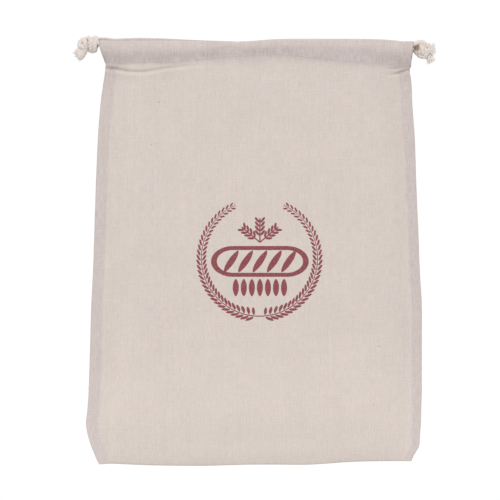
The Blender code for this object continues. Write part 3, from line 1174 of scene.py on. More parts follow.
CREASES = (
    Crease("left crease under the hem", (
        (-143.0, 169.6, 3.0), (-136.0, 169.5, 3.2), (-129.0, 168.7, 2.7), (-122.4, 166.9, 2.3),
        (-113.0, 165.9, 2.0), (-102.8, 166.4, 1.8), (-94.4, 167.7, 1.6), (-85.0, 169.5, 1.3),
        (-72.9, 170.9, 0.9), (-56.0, 172.3, 0.3), (-40.0, 174.0, 0.0),
    ), 1.7, 1.2),
    Crease("lip below the left crease", (
        (-143.0, 166.6, -0.5), (-122.0, 164.0, -0.5), (-104.0, 163.4, -0.4), (-84.0, 166.6, -0.2),
        (-60.0, 169.0, 0.0),
    ), 1.8, 3.4),
    Crease("right crease under the hem", (
        (116.0, 165.0, 0.0), (125.0, 163.6, 0.7), (132.4, 164.8, 2.8), (137.0, 166.6, 3.6),
        (141.6, 168.6, 3.6), (146.0, 170.0, 3.0),
    ), 1.7, 1.0),
    Crease("second crease by the right corner", (
        (124.0, 168.8, 0.0), (131.0, 169.4, 1.2), (138.0, 171.0, 1.0), (143.0, 172.2, 0.3),
    ), 1.4, 1.2),
    Crease("fall under the left of the roll", (
        (-146.0, 178.0, 0.1), (-122.0, 178.4, 0.5), (-90.0, 178.4, 0.6), (-60.0, 179.0, 0.65),
        (-38.0, 180.6, 0.6), (-24.0, 183.0, 0.4),
    ), 5.0, 5.4),
    Crease("broad fall left of the middle", (
        (-30.0, 186.0, 0.1), (-16.0, 185.6, 0.8), (-4.0, 184.0, 0.8), (10.0, 183.2, 0.6),
        (26.0, 182.0, 0.3),
    ), 5.0, 5.0),
    Crease("fall under the roll, right of the middle", (
        (26.0, 187.0, 0.2), (42.0, 187.2, 0.7), (60.0, 186.6, 0.5), (84.0, 184.6, 0.6),
        (104.0, 183.0, 0.7),
    ), 5.0, 5.4),
    Crease("fall under the right of the roll", (
        (96.0, 183.0, 0.2), (112.0, 179.6, 0.7), (128.0, 178.0, 0.7), (142.0, 177.6, 0.3),
    ), 6.0, 5.6),
    Crease("pucker in the roll, left", (
        (-141.0, 193.0, 0.0), (-136.0, 187.0, 0.5), (-133.0, 180.0, 0.2),
    ), 1.6, 1.6),
    Crease("pull across the roll, left of the middle", (
        (-44.0, 184.0, 0.0), (-34.0, 187.0, 0.7), (-24.0, 189.4, 0.3),
    ), 1.8, 2.4),
    Crease("pucker at the top, right of the middle", (
        (33.0, 193.4, 0.2), (38.0, 194.2, 0.7), (45.0, 194.4, 0.1),
    ), 1.0, 1.6),
    Crease("dimple beside the right corner", (
        (134.0, 183.5, 0.0), (138.0, 182.6, 0.7), (141.5, 181.6, 0.3),
    ), 2.4, 2.8),
    Crease("soft hollow above the middle", (
        (-60.0, 118.0, 0.2), (0.0, 112.0, 0.5), (70.0, 102.0, 0.2),
    ), 26.0, 26.0),
    Crease("soft ridge, lower left", (
        (-112.0, -70.0, 0.0), (-92.0, 0.0, -0.4), (-72.0, 60.0, 0.0),
    ), 20.0, 20.0),
    Crease("soft hollow, lower right", (
        (58.0, -152.0, 0.1), (80.0, -96.0, 0.45), (106.0, -36.0, 0.1),
    ), 22.0, 22.0),
    Crease("faint bow above the foot", (
        (-120.0, -172.0, 0.2), (-40.0, -178.0, 0.4), (40.0, -176.0, 0.4), (118.0, -168.0, 0.2),
    ), 12.0, 8.0),
)


@dataclass(frozen=True)
class Cloth:
    """The bag's one long cloth, from the raw edge of the front hem to that of the back hem.

    Attributes:
        thickness: Thickness of the cloth.
        hem: Depth of the hem's stitches in the channel's section.
        hem_past: How far the hem's edge lies past its stitches.
        turn_under: Width of the raw edge turned under.
        fold_round: How far the top folds are rounded.
        foot_round: How far the foot fold is rounded.
        lip: Depth of the rounded edge at an open end of a channel.
        seam_open: Height up the bag at which the side seams end.
        seam_open_over: Distance over which the edges part there.
        seam_hold: Distance in from a side edge over which the seam holds the waves down.
        show: Distance over which an allowance's edge shows through the front, and width of the painted shade
            line where the back roll meets the front.
        wander: How far that edge wanders.
        hem_ragged: How far the hem's edge wanders.
        cut_width: Width that the cloth was cut to.
        cut_length: Length that the cloth was cut to.
    """

    thickness: float = 0.6
    hem: float = 20.0
    hem_past: float = 1.2
    turn_under: float = 6.0
    fold_round: float = 2.6
    foot_round: float = 1.6
    lip: float = 1.0
    seam_open: float = 166.5
    seam_open_over: float = 5.0
    seam_hold: float = 7.0
    show: float = 1.8
    wander: float = 0.8
    hem_ragged: float = 1.4
    cut_width: float = 336.0
    cut_length: float = 872.0

    # Columns by a side edge: distance in from it, share of the way turned round the edge.
    EDGE = (
        (11.0, 1.0), (6.5, 1.0), (2.6, 1.0), (1.1, 0.95), (0.35, 0.80), (0.0, 0.50), (0.3, 0.18),
        (1.0, 0.04), (2.4, 0.0), (4.4, 0.0), (6.6, 0.0), (8.6, 0.0), (10.2, 0.0), (11.6, 0.0),
        (13.0, 0.0), (14.6, 0.0), (16.8, 0.0), (19.2, 0.0),
    )
    # Waves over the panel and gathers over the cord: width, height, seed and depth of each.
    WAVES = ((46, 58, 0.3, 0.35), (17, 26, 4.3, 0.12))
    GATHERS = ((3.6, 16, 9.1, 0.30), (9.0, 30, 2.7, 0.35))
    MIDDLE_COLUMNS = 100
    CHANNEL_REACH = 40.0
    CHANNEL_ROWS = 52
    FACE_ROWS = 142
    BACK_ROWS = 64

    def hem_depth(self, x: float) -> float:
        """Return how far below the top fold the hem's stitches run at a place across."""
        return self.hem / DRAWN_UP.read(x)

    def height(self, x: float, y: float) -> float:
        """Return the height of the front's outer side with its creases.

        Args:
            x: Place across the bag.
            y: Height up the bag.

        Returns:
            Its height above the surface the bag lies on.
        """
        side = min(x - FORM.left(y), FORM.right(y) - x)
        inward = ease(side / self.seam_hold)
        below = max(FORM.front_top(x) - y, 0.0)
        pressed = sum(crease.press(x, y) for crease in CREASES) * blend(0.45, 1.0, inward) * ease(below / 5.0)
        waves = sum(depth * waver(x, y, width, height, seed) for width, height, seed, depth in self.WAVES)
        gathers = sum(depth * waver(x, y, width, height, seed) for width, height, seed, depth in self.GATHERS)
        rolled = CHANNEL.read(below * DRAWN_UP.read(x))
        return FORM.face(x, y) - pressed + (waves + gathers * rolled * ease(below / 4.0)) * inward

    def rows(self) -> list[tuple[Zone, float]]:
        """Return the cloth's rows.

        Returns:
            For each row, its zone and a share of the way along it.
        """
        counts = (
            (Zone.FRONT_TURN_UNDER, 4),
            (Zone.FRONT_HEM, 14),
            (Zone.FRONT_FOLD, 9),
            (Zone.FRONT, self.CHANNEL_ROWS + self.FACE_ROWS),
            (Zone.FOOT, 7),
            (Zone.BACK, self.BACK_ROWS),
            (Zone.BACK_FOLD, 9),
            (Zone.BACK_HEM, 14),
            (Zone.BACK_TURN_UNDER, 4),
        )
        return [(zone, (k + 0.5) / n) for zone, n in counts for k in range(n)]

    def face_below(self, share: float) -> float:
        """Return the distance below the top fold of a row of the front.

        Args:
            share: How far along the front the row lies.

        Returns:
            The distance, which grows slowly over the channel.
        """
        first = self.CHANNEL_ROWS / (self.CHANNEL_ROWS + self.FACE_ROWS)
        if share < first:
            return blend(self.fold_round, self.CHANNEL_REACH, share / first)
        return blend(self.CHANNEL_REACH, FORM.length - self.foot_round, (share - first) / (1 - first))

    def hem_height(self, x: float, below: float, top: float) -> float:
        """Return the height of the front hem's inner layer, on the side that looks into the mouth.

        Args:
            x: Place across the bag.
            below: Distance below the top fold.
            top: Height up the bag of the top fold.

        Returns:
            Its height above the surface the bag lies on.
        """
        depth = self.hem_depth(x)
        under = FORM.roll + FORM.mouth(x)
        stitched = self.height(x, top - below) - 3 * self.thickness - 0.3
        risen = ease((below - 0.55 * depth) / (0.45 * depth))
        return min(blend(under, stitched, risen), stitched)

    def section(self, zone: Zone, share: float, x: float) -> tuple[float, float, float, float]:
        """Return one point of the cloth's section at a place across.

        Args:
            zone: The stretch of cloth.
            share: How far along it.
            x: Place across the bag.

        Returns:
            Its height up the bag, its height above the surface, and the inward direction's two parts.
        """
        top, back, foot = FORM.front_top(x), FORM.back_top(x), FORM.foot(x)
        edge = self.hem_depth(x) + self.hem_past
        layer = self.thickness + 0.1
        if zone is Zone.FRONT_TURN_UNDER:
            below = blend(edge - self.turn_under, edge, share)
            return top - below, self.height(x, top - below) - layer, 0.0, -1.0
        if zone is Zone.FRONT_HEM:
            below = blend(edge, self.fold_round, share)
            return top - below, self.hem_height(x, below, top), 0.0, 1.0
        if zone is Zone.FRONT_FOLD:
            upper = self.height(x, top - self.fold_round)
            lower = FORM.roll + FORM.mouth(x)
            turn = math.radians(blend(-90, 90, share))
            y = top - self.fold_round * (1 - math.cos(turn))
            z = (upper + lower) / 2 + (upper - lower) / 2 * math.sin(turn)
            return y, z, -math.cos(turn), -math.sin(turn)
        if zone is Zone.FRONT:
            height = FORM.length - self.face_below(share)
            y = foot + (top - foot) * height / FORM.length
            return y, self.height(x, y), 0.0, -1.0
        if zone is Zone.FOOT:
            upper = self.height(x, foot + self.foot_round)
            turn = math.radians(blend(90, -90, share))
            y = foot + self.foot_round * (1 - math.cos(turn))
            return y, upper / 2 * (1 + math.sin(turn)), math.cos(turn), -math.sin(turn)
        if zone is Zone.BACK:
            return blend(foot + self.foot_round, back - self.fold_round, share), 0.0, 0.0, 1.0
        if zone is Zone.BACK_FOLD:
            turn = math.radians(blend(-90, 90, share))
            y = back - self.fold_round * (1 - math.cos(turn))
            return y, FORM.roll / 2 * (1 + math.sin(turn)), -math.cos(turn), -math.sin(turn)
        stitched = 3 * layer
        if zone is Zone.BACK_HEM:
            below = blend(self.fold_round, edge, share)
            rolled = CHANNEL.read(below * self.hem / self.hem_depth(x), 2)
            return back - below, blend(stitched, FORM.roll, rolled), 0.0, -1.0
        below = blend(edge, edge - self.turn_under, share)
        return back - below, layer, 0.0, 1.0

    def level(self, zone: Zone, share: float) -> float:
        """Return the height up the bag at which a row meets the side edges.

        Args:
            zone: The stretch of cloth.
            share: How far along it.

        Returns:
            The height.
        """
        if zone is Zone.FOOT:
            return FORM.foot_level + self.foot_round
        if zone is Zone.BACK:
            return FORM.foot_level + blend(self.foot_round, FORM.length - self.fold_round, share)
        below = self.fold_round
        if zone is Zone.FRONT:
            below = self.face_below(share)
        if zone is Zone.BACK_HEM:
            below = blend(self.fold_round, self.hem, share)
        if zone is Zone.FRONT_HEM:
            below = blend(self.hem, self.fold_round, share)
        if zone in (Zone.FRONT_TURN_UNDER, Zone.BACK_TURN_UNDER):
            below = self.hem
        return FORM.foot_level + FORM.length - below

    def columns(self) -> list[tuple[int, float, float]]:
        """Return the cloth's columns.

        Returns:
            For each column, its side (-1, 0 or 1), its inset or share across, and its share turned.
        """
        left = [(-1, inset, turned) for inset, turned in self.EDGE]
        middle = [(0, k / self.MIDDLE_COLUMNS, 0.0) for k in range(1, self.MIDDLE_COLUMNS)]
        right = [(1, inset, turned) for inset, turned in reversed(self.EDGE)]
        return left + middle + right

    def point(self, zone: Zone, share: float, column: tuple[int, float, float]) -> tuple[float, float, float]:
        """Return one point of the cloth.

        Args:
            zone: The stretch of cloth.
            share: How far along it.
            column: The column, as columns() gives it.

        Returns:
            The point, in millimetres.
        """
        side, inset, turned = column
        level = self.level(zone, share)
        left, right = FORM.left(level), FORM.right(level)
        edge, inwards = (left, 1.0) if side < 0 else (right, -1.0)
        if turned == 0.0:
            last = self.EDGE[-1][0]
            x = edge + inwards * inset if side else blend(left + last, right - last, inset)
            y, z, _, _ = self.section(zone, share, x)
            return x, y, z
        flat = next(i for i, t in self.EDGE if t == 0.0)
        y, z, in_y, in_z = self.section(zone, share, edge + inwards * flat)
        open_x = edge + inwards * min(inset, 0.35)
        open_y, open_z = y + in_y * turned * self.lip, z + in_z * turned * self.lip
        sewn = 0.0
        if zone in (Zone.FRONT, Zone.BACK, Zone.FOOT):
            sewn = 1 - ease((level - self.seam_open) / self.seam_open_over)
        seam = self.height(edge + inwards * flat, level) / 2 + (0.05 if zone is Zone.FRONT else -0.05)
        sewn_y, sewn_z = y, z + (seam - z) * turned
        if zone is Zone.FOOT:
            tucked = turned * 2.2 * self.thickness
            sewn_y, sewn_z = y + in_y * tucked, z + in_z * tucked
        return (
            blend(open_x, edge + inwards * inset, sewn),
            blend(open_y, sewn_y, sewn),
            blend(open_z, sewn_z, sewn),
        )

    def doubled_and_shade(self, zone: Zone, share: float, x: float, y: float) -> float:
        """Return how far the cloth lies on turned-in cloth at a point, with the rolls' painted shade and
        painted light.

        Args:
            zone: The stretch of cloth.
            share: How far along it.
            x: Place across the bag.
            y: Height up the bag.

        Returns:
            A value from 0 to 1, or more where shade is painted: under the front roll and along the back roll
            where it meets the front.
        """
        if zone in (Zone.BACK_FOLD, Zone.BACK_HEM):
            # Painted shade: a dark line along the back roll where it meets the front roll's top fold.
            return 0.8 + 2.2 * (1 - ease((y - FORM.front_top(x)) / self.show))
        if zone not in (Zone.FRONT, Zone.BACK):
            return 0.0 if zone is Zone.FOOT else 0.9
        level = self.level(zone, share)
        wander = self.wander * waver(y, x, 14, 90, 6.0)
        from_left, from_right = x - FORM.left(level), FORM.right(level) - x
        left = 1 - ease((from_left - ALLOWANCE.read(level, 1) + wander) / self.show + 0.5)
        right = 1 - ease((from_right - ALLOWANCE.read(level, 2) + wander) / self.show + 0.5)
        top = FORM.front_top(x) if zone is Zone.FRONT else FORM.back_top(x)
        depth, below, fade = self.hem_depth(x), top - y, HEM_FADE.read(x)
        ragged = self.hem_ragged * waver(x, 0.5, 8, 1, 3.0)
        hem = 1 - ease((below - depth + ragged + 0.2 * fade) / fade)
        # Painted light: the hem's tint falls to 0.35 at the top fold, so the top of the roll is painted
        # lighter.
        painted_fold_light = blend(0.35, 1.0, ease(below / (0.7 * depth)))
        patchy = 0.45 * waver(x, y, 16, 7, 5.0) + 0.3 * waver(x, y, 4, 6, 8.0)
        # Painted shade: the lower half of the roll is darkened, in patches.
        sunk_and_shaded = ease((below - 0.35 * depth) / (0.45 * depth)) * (0.62 + patchy)
        return max(left * 0.92, right, hem * (painted_fold_light + sunk_and_shaded))

    def build(self) -> bpy.types.Object:
        """Returns:
            The cloth.
        """
        draft = Draft.empty()
        rows, columns = self.rows(), self.columns()
        width = len(columns)
        along, before = 0.0, None
        for zone, share in rows:
            middle = Vector(self.point(zone, share, (0, 0.5, 0.0)))
            along += (middle - before).length if before else 0.0
            before = middle
            for column in columns:
                x, y, z = self.point(zone, share, column)
                side, inset, turned = column
                across = x if turned <= 0.5 else x + side * 2 * inset
                draft.points.append((x, y, z))
                draft.uv.append((across * MM, along * MM))
                draft.marks.append(self.doubled_and_shade(zone, share, x, y))
        for r in range(len(rows) - 1):
            for c in range(width - 1):
                at = r * width + c
                draft.faces.append((at, at + width, at + width + 1, at + 1))
        cloth = draft.piece("bag_cloth", Linen("linen_front").material(), "linen")
        cloth.data.materials.append(Linen("linen_inside", printed=False).material())
        thicken = cloth.modifiers.new("thickness", "SOLIDIFY")
        thicken.thickness = self.thickness * MM
        thicken.offset = -1.0
        thicken.use_even_offset = False
        thicken.material_offset = 1
        thicken.material_offset_rim = 1
        apply_modifier(cloth, "thickness")
        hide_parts("bag_body")
        return cloth


@dataclass(frozen=True)
class HemStitches:
    """Lockstitches along a channel's hem, one stitch and a gap to each pitch.

    Attributes:
        cloth: The cloth that they hold.
        pitch: Distance from stitch to stitch.
        length: Length of the part of a stitch that lies on the cloth.
        thread: Half thickness of the thread.
        sides: Sides of a stitch.
        margin: Distance from the side edges at which the stitching ends.
    """

    cloth: Cloth
    pitch: float = 3.2
    length: float = 2.5
    thread: float = 0.18
    sides: int = 6
    margin: float = 2.0

    # Rings of a stitch: share of the way along it, rise and size as shares of the thread.
    RINGS = ((0.0, -0.7, 0.7), (0.15, 0.5, 1.0), (0.5, 0.8, 1.1), (0.85, 0.5, 1.0), (1.0, -0.7, 0.7))

    def stitch(self, start: Vector, end: Vector, out: float) -> Draft:
        """Return one stitch: a thread that comes out of the cloth, lies on it and goes back in.

        Args:
            start: Where it comes out.
            end: Where it goes in.
            out: How far it stands out, 1 being fully.

        Returns:
            The stitch, closed at both ends.
        """
        draft = Draft.empty()
        ahead, up = end - start, Vector((0, 0, 1))
        across = Vector((-ahead.y, ahead.x, 0)).normalized()
        for share, rise, size in self.RINGS:
            place = start + ahead * share + up * (out * rise * self.thread)
            lay = (self.thread, share * ahead.length)
            draft.ring(place, (across, up), self.thread * size, self.sides, lay)
            if share:
                draft.join(self.sides)
        draft.close(self.sides)
        return draft

    def build(self, front: bool) -> bpy.types.Object:
        """Make the row of stitches on the front's or the back's outer side.

        Args:
            front: True for the front, False for the back.

        Returns:
            The row of stitches.
        """
        name = "hem_stitches_front" if front else "hem_stitches_back"
        draft = Draft.empty()
        level = FORM.foot_level + FORM.length - self.cloth.hem
        x, right = FORM.left(level) + self.margin, FORM.right(level) - self.margin
        while x + self.length < right:
            ends = []
            for place in (x, x + self.length):
                top = FORM.front_top(place) if front else FORM.back_top(place)
                y = top - self.cloth.hem_depth(place)
                z = self.cloth.height(place, y) + 0.02 if front else self.thread * 0.9
                ends.append(Vector((place, y, z)))
            draft.add(self.stitch(ends[0], ends[1], 1.0 if front else -0.2))
            x += self.pitch
        return draft.piece(name, Thread(name + "_thread").material(), "linen")


# --- The cords ---


@dataclass(frozen=True)
class Strand:
    """A length of cord: a route of points with the cord's radius at each, and how its ends close.

    Attributes:
        name: What it is.
        route: Points along it: x, y, z, radius.
        frayed: Whether its far end is let out into loose yarn.
        sunk_and_shaded: Whether it lies deep in the knot and is painted all over in shade.
    """

    name: str
    route: tuple[tuple[float, float, float, float], ...]
    frayed: bool = False
    sunk_and_shaded: bool = False


@dataclass(frozen=True)
class Twist:
    """How a cord is laid up: three plies twisted together.

    Attributes:
        plies: Number of plies.
        pitch: Length of one full turn of the plies.
        groove: Depth of the grooves between plies, as a share of the radius.
        crown: Height of the plies' crowns, as a share of the radius.
        end: Size of a cord's first and last ring, as a share of the radius.
        shade: How much shade is painted at the bottom of a groove.
        sides: Sides of the cord's mesh.
        step: Distance from ring to ring.
        uneven: How uneven the cord's thickness is.
    """

    plies: int = 3
    pitch: float = 9.0
    groove: float = 0.13
    crown: float = 1.06
    end: float = 0.45
    shade: float = 0.8
    sides: int = 18
    step: float = 0.7
    uneven: float = 0.06

    def smooth(self, route: tuple[tuple[float, ...], ...]) -> list[tuple[Vector, float]]:
        """Return a route's points on a smooth curve, about a step apart.

        Args:
            route: Points along it: x, y, z, radius.

        Returns:
            The points, each with its radius.
        """
        places = [Vector(row[:3]) for row in route]
        radii = [row[3] for row in route]
        made = []
        last = len(places) - 1
        for i in range(last):
            a, b = places[max(i - 1, 0)], places[i]
            c, d = places[i + 1], places[min(i + 2, last)]
            count = max(int((c - b).length / self.step), 1)
            for k in range(count):
                t = k / count
                point = 0.5 * (
                    2 * b + (c - a) * t + (2 * a - 5 * b + 4 * c - d) * t**2 + (3 * b - a - 3 * c + d) * t**3
                )
                made.append((point, blend(radii[i], radii[i + 1], t)))
        return made + [(places[last], radii[last])]

    def cord(self, route: tuple[tuple[float, ...], ...], start_turn: float = 0.0) -> Draft:
        """Return a twisted cord along a route.

        Args:
            route: Points along it: x, y, z, radius.
            start_turn: Turn of the plies at its start, in radians.

        Returns:
            The cord, closed at both ends, its grooves marked for painted shade.
        """
        draft = Draft.empty()
        line = self.smooth(route)
        up = Vector((0, 0, 1))
        length, before = 0.0, line[0][0]
        for i, (place, radius) in enumerate(line):
            ahead = (line[min(i + 1, len(line) - 1)][0] - line[max(i - 1, 0)][0]).normalized()
            side = up.cross(ahead)
            side = side.normalized() if side.length > 1e-6 else Vector((1, 0, 0))
            up = ahead.cross(side).normalized()
            length += (place - before).length
            before = place
            turn = start_turn + 2 * math.pi * length / self.pitch
            rounding = min(1.0, blend(self.end, 1.0, min(i, len(line) - 1 - i) / 2))
            for k in range(self.sides):
                angle = 2 * math.pi * k / self.sides
                sunk_and_shaded = (1 - abs(math.cos(self.plies / 2 * (angle - turn)))) ** 1.3
                round_x, round_y = math.cos(angle), math.sin(angle)
                spot = place * 0.9 + Vector((round_x, round_y, 0)) * 1.5
                uneven = 1 + self.uneven * noise.noise(spot)
                reach = radius * rounding * uneven * (self.crown - self.groove * sunk_and_shaded)
                point = place + (side * round_x + up * round_y) * reach
                draft.points.append(tuple(point))
                draft.uv.append((angle * radius * MM, length * MM))
                # Painted shade: the deeper a point lies in a groove, the more shade its mark paints.
                draft.marks.append(self.shade * sunk_and_shaded)
            if i:
                draft.join(self.sides)
        draft.close(self.sides)
        return draft


@dataclass(frozen=True)
class Fuzz:
    """Loose fibres that stand out of a cord.

    Attributes:
        seed: Seed of their places.
        per_mm: Fibres for each millimetre of cord.
        root: Where a fibre starts, as a share of the cord's radius.
        lowest: Least height at which a fibre starts.
        length: Length of a fibre.
        thickness: Half thickness of a fibre.
        curl: How much it bends from ring to ring.
        taper: How much thinner it is at its tip.
        rings: Rings of a fibre's mesh.
    """

    seed: int
    per_mm: float = 9.0
    root: float = 0.92
    lowest: float = 0.4
    length: float = 2.0
    thickness: float = 0.055
    curl: float = 0.16
    taper: float = 0.75
    rings: int = 4

    def fibre(
        self, start: Vector, heading: Vector, length: float, thick: float, dice: random.Random
    ) -> Draft:
        """Return one curled fibre.

        Args:
            start: Where it leaves the cord.
            heading: The direction it leaves in.
            length: Its length.
            thick: Its half thickness at the start.
            dice: Source of its curl.

        Returns:
            A thin three-sided tube that tapers to its tip.
        """
        draft = Draft.empty()
        bend = Vector((dice.gauss(0, 1), dice.gauss(0, 1), dice.gauss(0, 0.6)))
        place, ahead, last = start.copy(), heading.normalized(), self.rings - 1
        for k in range(self.rings):
            side = ahead.orthogonal().normalized()
            size = thick * (1 - self.taper * k / last)
            draft.ring(place, (side, ahead.cross(side)), size, 3, (size, k * length / self.rings))
            if k:
                draft.join(3)
            place = place + ahead * length / last
            place.z = max(place.z, 0.25)
            ahead = (ahead + bend * self.curl).normalized()
        draft.close(3)
        return draft

    def on(self, strands: tuple[Strand, ...], twist: Twist) -> Draft:
        """Return the fibres that stand out of some strands.

        Args:
            strands: The strands.
            twist: How they are laid up.

        Returns:
            The fibres.
        """
        dice = random.Random(self.seed)
        draft = Draft.empty()
        for strand in strands:
            line = twist.smooth(strand.route)
            for (place, radius), (after, _) in zip(line, line[1:]):
                ahead = (after - place).normalized()
                for _ in range(int(self.per_mm * (after - place).length + dice.random())):
                    out = Vector((dice.gauss(0, 1), dice.gauss(0, 1), dice.gauss(0, 1)))
                    out = (out - ahead * out.dot(ahead)).normalized()
                    heading = out + ahead * dice.gauss(0, 0.8)
                    start = place + out * radius * self.root
                    if start.z > self.lowest:
                        long = self.length * dice.uniform(0.35, 1.3)
                        draft.add(self.fibre(start, heading, long, self.thickness, dice))
        return draft

    def tuft(self, strand: Strand, count: int, length: float, spread: float, thick: float) -> Draft:
        """Return the loose yarn at a strand's far end.

        Args:
            strand: The strand, let out at its far end.
            count: Number of yarns.
            length: Their length.
            spread: How far they fan out.
            thick: Half thickness of a yarn.

        Returns:
            The yarns.
        """
        dice = random.Random(self.seed + 7)
        draft = Draft.empty()
        end, before = Vector(strand.route[-1][:3]), Vector(strand.route[-2][:3])
        radius, ahead = strand.route[-1][3], (end - before).normalized()
        for _ in range(count):
            out = Vector((dice.gauss(0, 1), dice.gauss(0, 1), dice.gauss(0, 0.6)))
            out = out - ahead * out.dot(ahead)
            start = end - ahead * dice.uniform(0.5, 2.5) + out.normalized() * radius * 0.75 * dice.random()
            start.z = max(start.z, 0.6)
            heading = ahead + out * spread
            draft.add(self.fibre(start, heading, length * dice.uniform(0.55, 1.15), thick, dice))
        return draft


@dataclass(frozen=True)
class Drawcord:
    """The cord in one channel, from knot to knot.

    Attributes:
        radius: Radius of the cord.
        reach: How far it stands out of the channel.
        level: Height up the bag at which it meets the side edges.
        count: Points along it.
    """

    radius: float = 1.6
    reach: float = 1.4
    level: float = 190.0
    count: int = 34

    def build(self, front: bool) -> bpy.types.Object:
        """Make the cord of one channel.

        Args:
            front: True for the front channel, False for the back one.

        Returns:
            The cord.
        """
        name = "front" if front else "back"
        left, right = FORM.left(self.level) - self.reach, FORM.right(self.level) + self.reach
        route = []
        for i in range(self.count):
            x = blend(left, right, i / (self.count - 1))
            route.append((*FORM.cord(front, x), self.radius))
        made = Twist(sides=12, step=1.2).cord(tuple(route))
        finish = Cotton(f"cotton_{name}_channel").material()
        cord = made.piece(f"cord_in_{name}_channel", finish, "cotton_cord")
        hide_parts(f"drawcord_{name}")
        return cord


LEFT_KNOT = (
    Strand("front cord into the upper wrap", (
        (-145.6, 192.6, 9.9, 1.6), (-148.4, 194.2, 10.2, 1.9), (-150.0, 197.0, 9.6, 2.2),
        (-150.6, 198.6, 7.0, 2.2), (-150.2, 196.4, 3.4, 2.2), (-149.8, 191.6, 2.6, 2.2),
        (-151.6, 187.6, 3.4, 2.3), (-154.0, 186.8, 6.4, 2.3), (-154.6, 189.6, 9.4, 2.4),
        (-154.2, 194.2, 10.4, 2.5), (-155.4, 197.8, 8.4, 2.4), (-158.6, 197.4, 5.0, 2.4),
        (-163.2, 195.8, 3.8, 2.5), (-165.2, 192.4, 5.0, 2.4), (-162.4, 190.2, 8.0, 2.4),
        (-158.2, 190.0, 8.2, 2.4), (-155.6, 188.4, 6.0, 2.4),
    )),
    Strand("back cord round the outer wrap", (
        (-145.8, 196.2, 3.1, 1.6), (-148.8, 197.2, 4.6, 2.0), (-151.4, 196.2, 8.6, 2.3),
        (-151.0, 191.6, 9.8, 2.4), (-151.2, 187.4, 7.6, 2.4), (-154.4, 187.0, 4.0, 2.4),
        (-158.4, 190.6, 2.8, 2.4), (-160.8, 195.4, 4.6, 2.4), (-160.6, 196.4, 8.4, 2.3),
        (-159.8, 192.8, 9.6, 2.4), (-159.6, 189.4, 7.6, 2.6), (-161.4, 186.0, 5.4, 3.4),
        (-163.8, 182.8, 4.8, 3.8), (-166.2, 179.8, 4.4, 3.4),
    ), True),
    Strand("front cord's cut end", (
        (-158.6, 190.4, 4.2, 2.6), (-162.4, 188.4, 4.2, 3.2), (-165.8, 186.0, 4.1, 3.6),
        (-168.0, 183.2, 4.0, 3.4),
    ), True),
    # Painted shade: a strand coloured all over as shade, to fill the shaded gap where the cords leave the
    # channel.
    Strand("shaded cords side by side at the channel's end", (
        (-145.4, 195.6, 7.6, 1.7), (-147.6, 196.0, 7.0, 1.9), (-149.6, 194.6, 5.6, 2.0),
    ), sunk_and_shaded=True),
    # Painted shade: a strand coloured all over as shade, to fill the knot's shaded middle.
    Strand("shaded inside of the knot", (
        (-150.8, 189.8, 7.6, 2.2), (-153.6, 189.6, 8.0, 2.3), (-157.0, 189.6, 8.4, 2.3),
        (-158.6, 192.0, 7.6, 2.3),
    ), sunk_and_shaded=True),
)

RIGHT_KNOT = (
    Strand("front cord into the upper lobe", (
        (145.6, 191.8, 9.9, 1.6), (148.6, 193.2, 10.0, 1.9), (151.6, 194.2, 9.4, 2.2),
        (155.2, 194.0, 8.6, 2.4), (157.0, 191.4, 7.4, 2.5), (155.8, 188.2, 6.8, 2.4),
        (152.8, 187.6, 5.2, 2.3), (151.6, 190.4, 3.4, 2.3), (154.6, 193.0, 3.2, 2.3),
        (158.4, 192.0, 3.6, 2.4), (161.2, 191.0, 4.4, 2.9), (162.6, 190.4, 4.6, 2.9),
    ), True),
    Strand("back cord round the lower lobe", (
        (145.8, 186.4, 3.1, 1.6), (148.4, 186.2, 3.6, 1.9), (150.6, 184.0, 5.0, 2.2),
        (153.4, 181.8, 6.6, 2.4), (157.0, 181.6, 7.8, 2.4), (158.8, 184.6, 8.4, 2.4),
        (156.6, 187.2, 9.4, 2.3), (153.2, 186.0, 9.0, 2.3), (152.4, 183.0, 6.4, 2.3),
        (155.4, 182.0, 3.6, 2.4), (158.8, 182.6, 3.8, 2.9), (160.8, 180.6, 4.3, 3.2),
        (161.8, 178.8, 4.3, 3.1),
    ), True),
    Strand("inner turn", (
        (152.8, 192.2, 9.6, 2.2), (154.4, 189.6, 10.4, 2.4), (155.0, 186.4, 10.2, 2.3),
        (156.2, 183.6, 8.8, 2.3), (158.8, 184.8, 6.0, 2.4), (161.2, 186.4, 5.2, 3.3),
        (163.0, 185.4, 4.8, 3.3),
    ), True),
    # Painted shade: a strand coloured all over as shade, to fill the shaded gap where the cords leave the
    # channel.
    Strand("shaded cords side by side at the channel's end", (
        (146.0, 190.6, 5.4, 1.8), (149.0, 190.0, 5.0, 2.3), (152.2, 188.2, 4.6, 2.4),
    ), sunk_and_shaded=True),
)


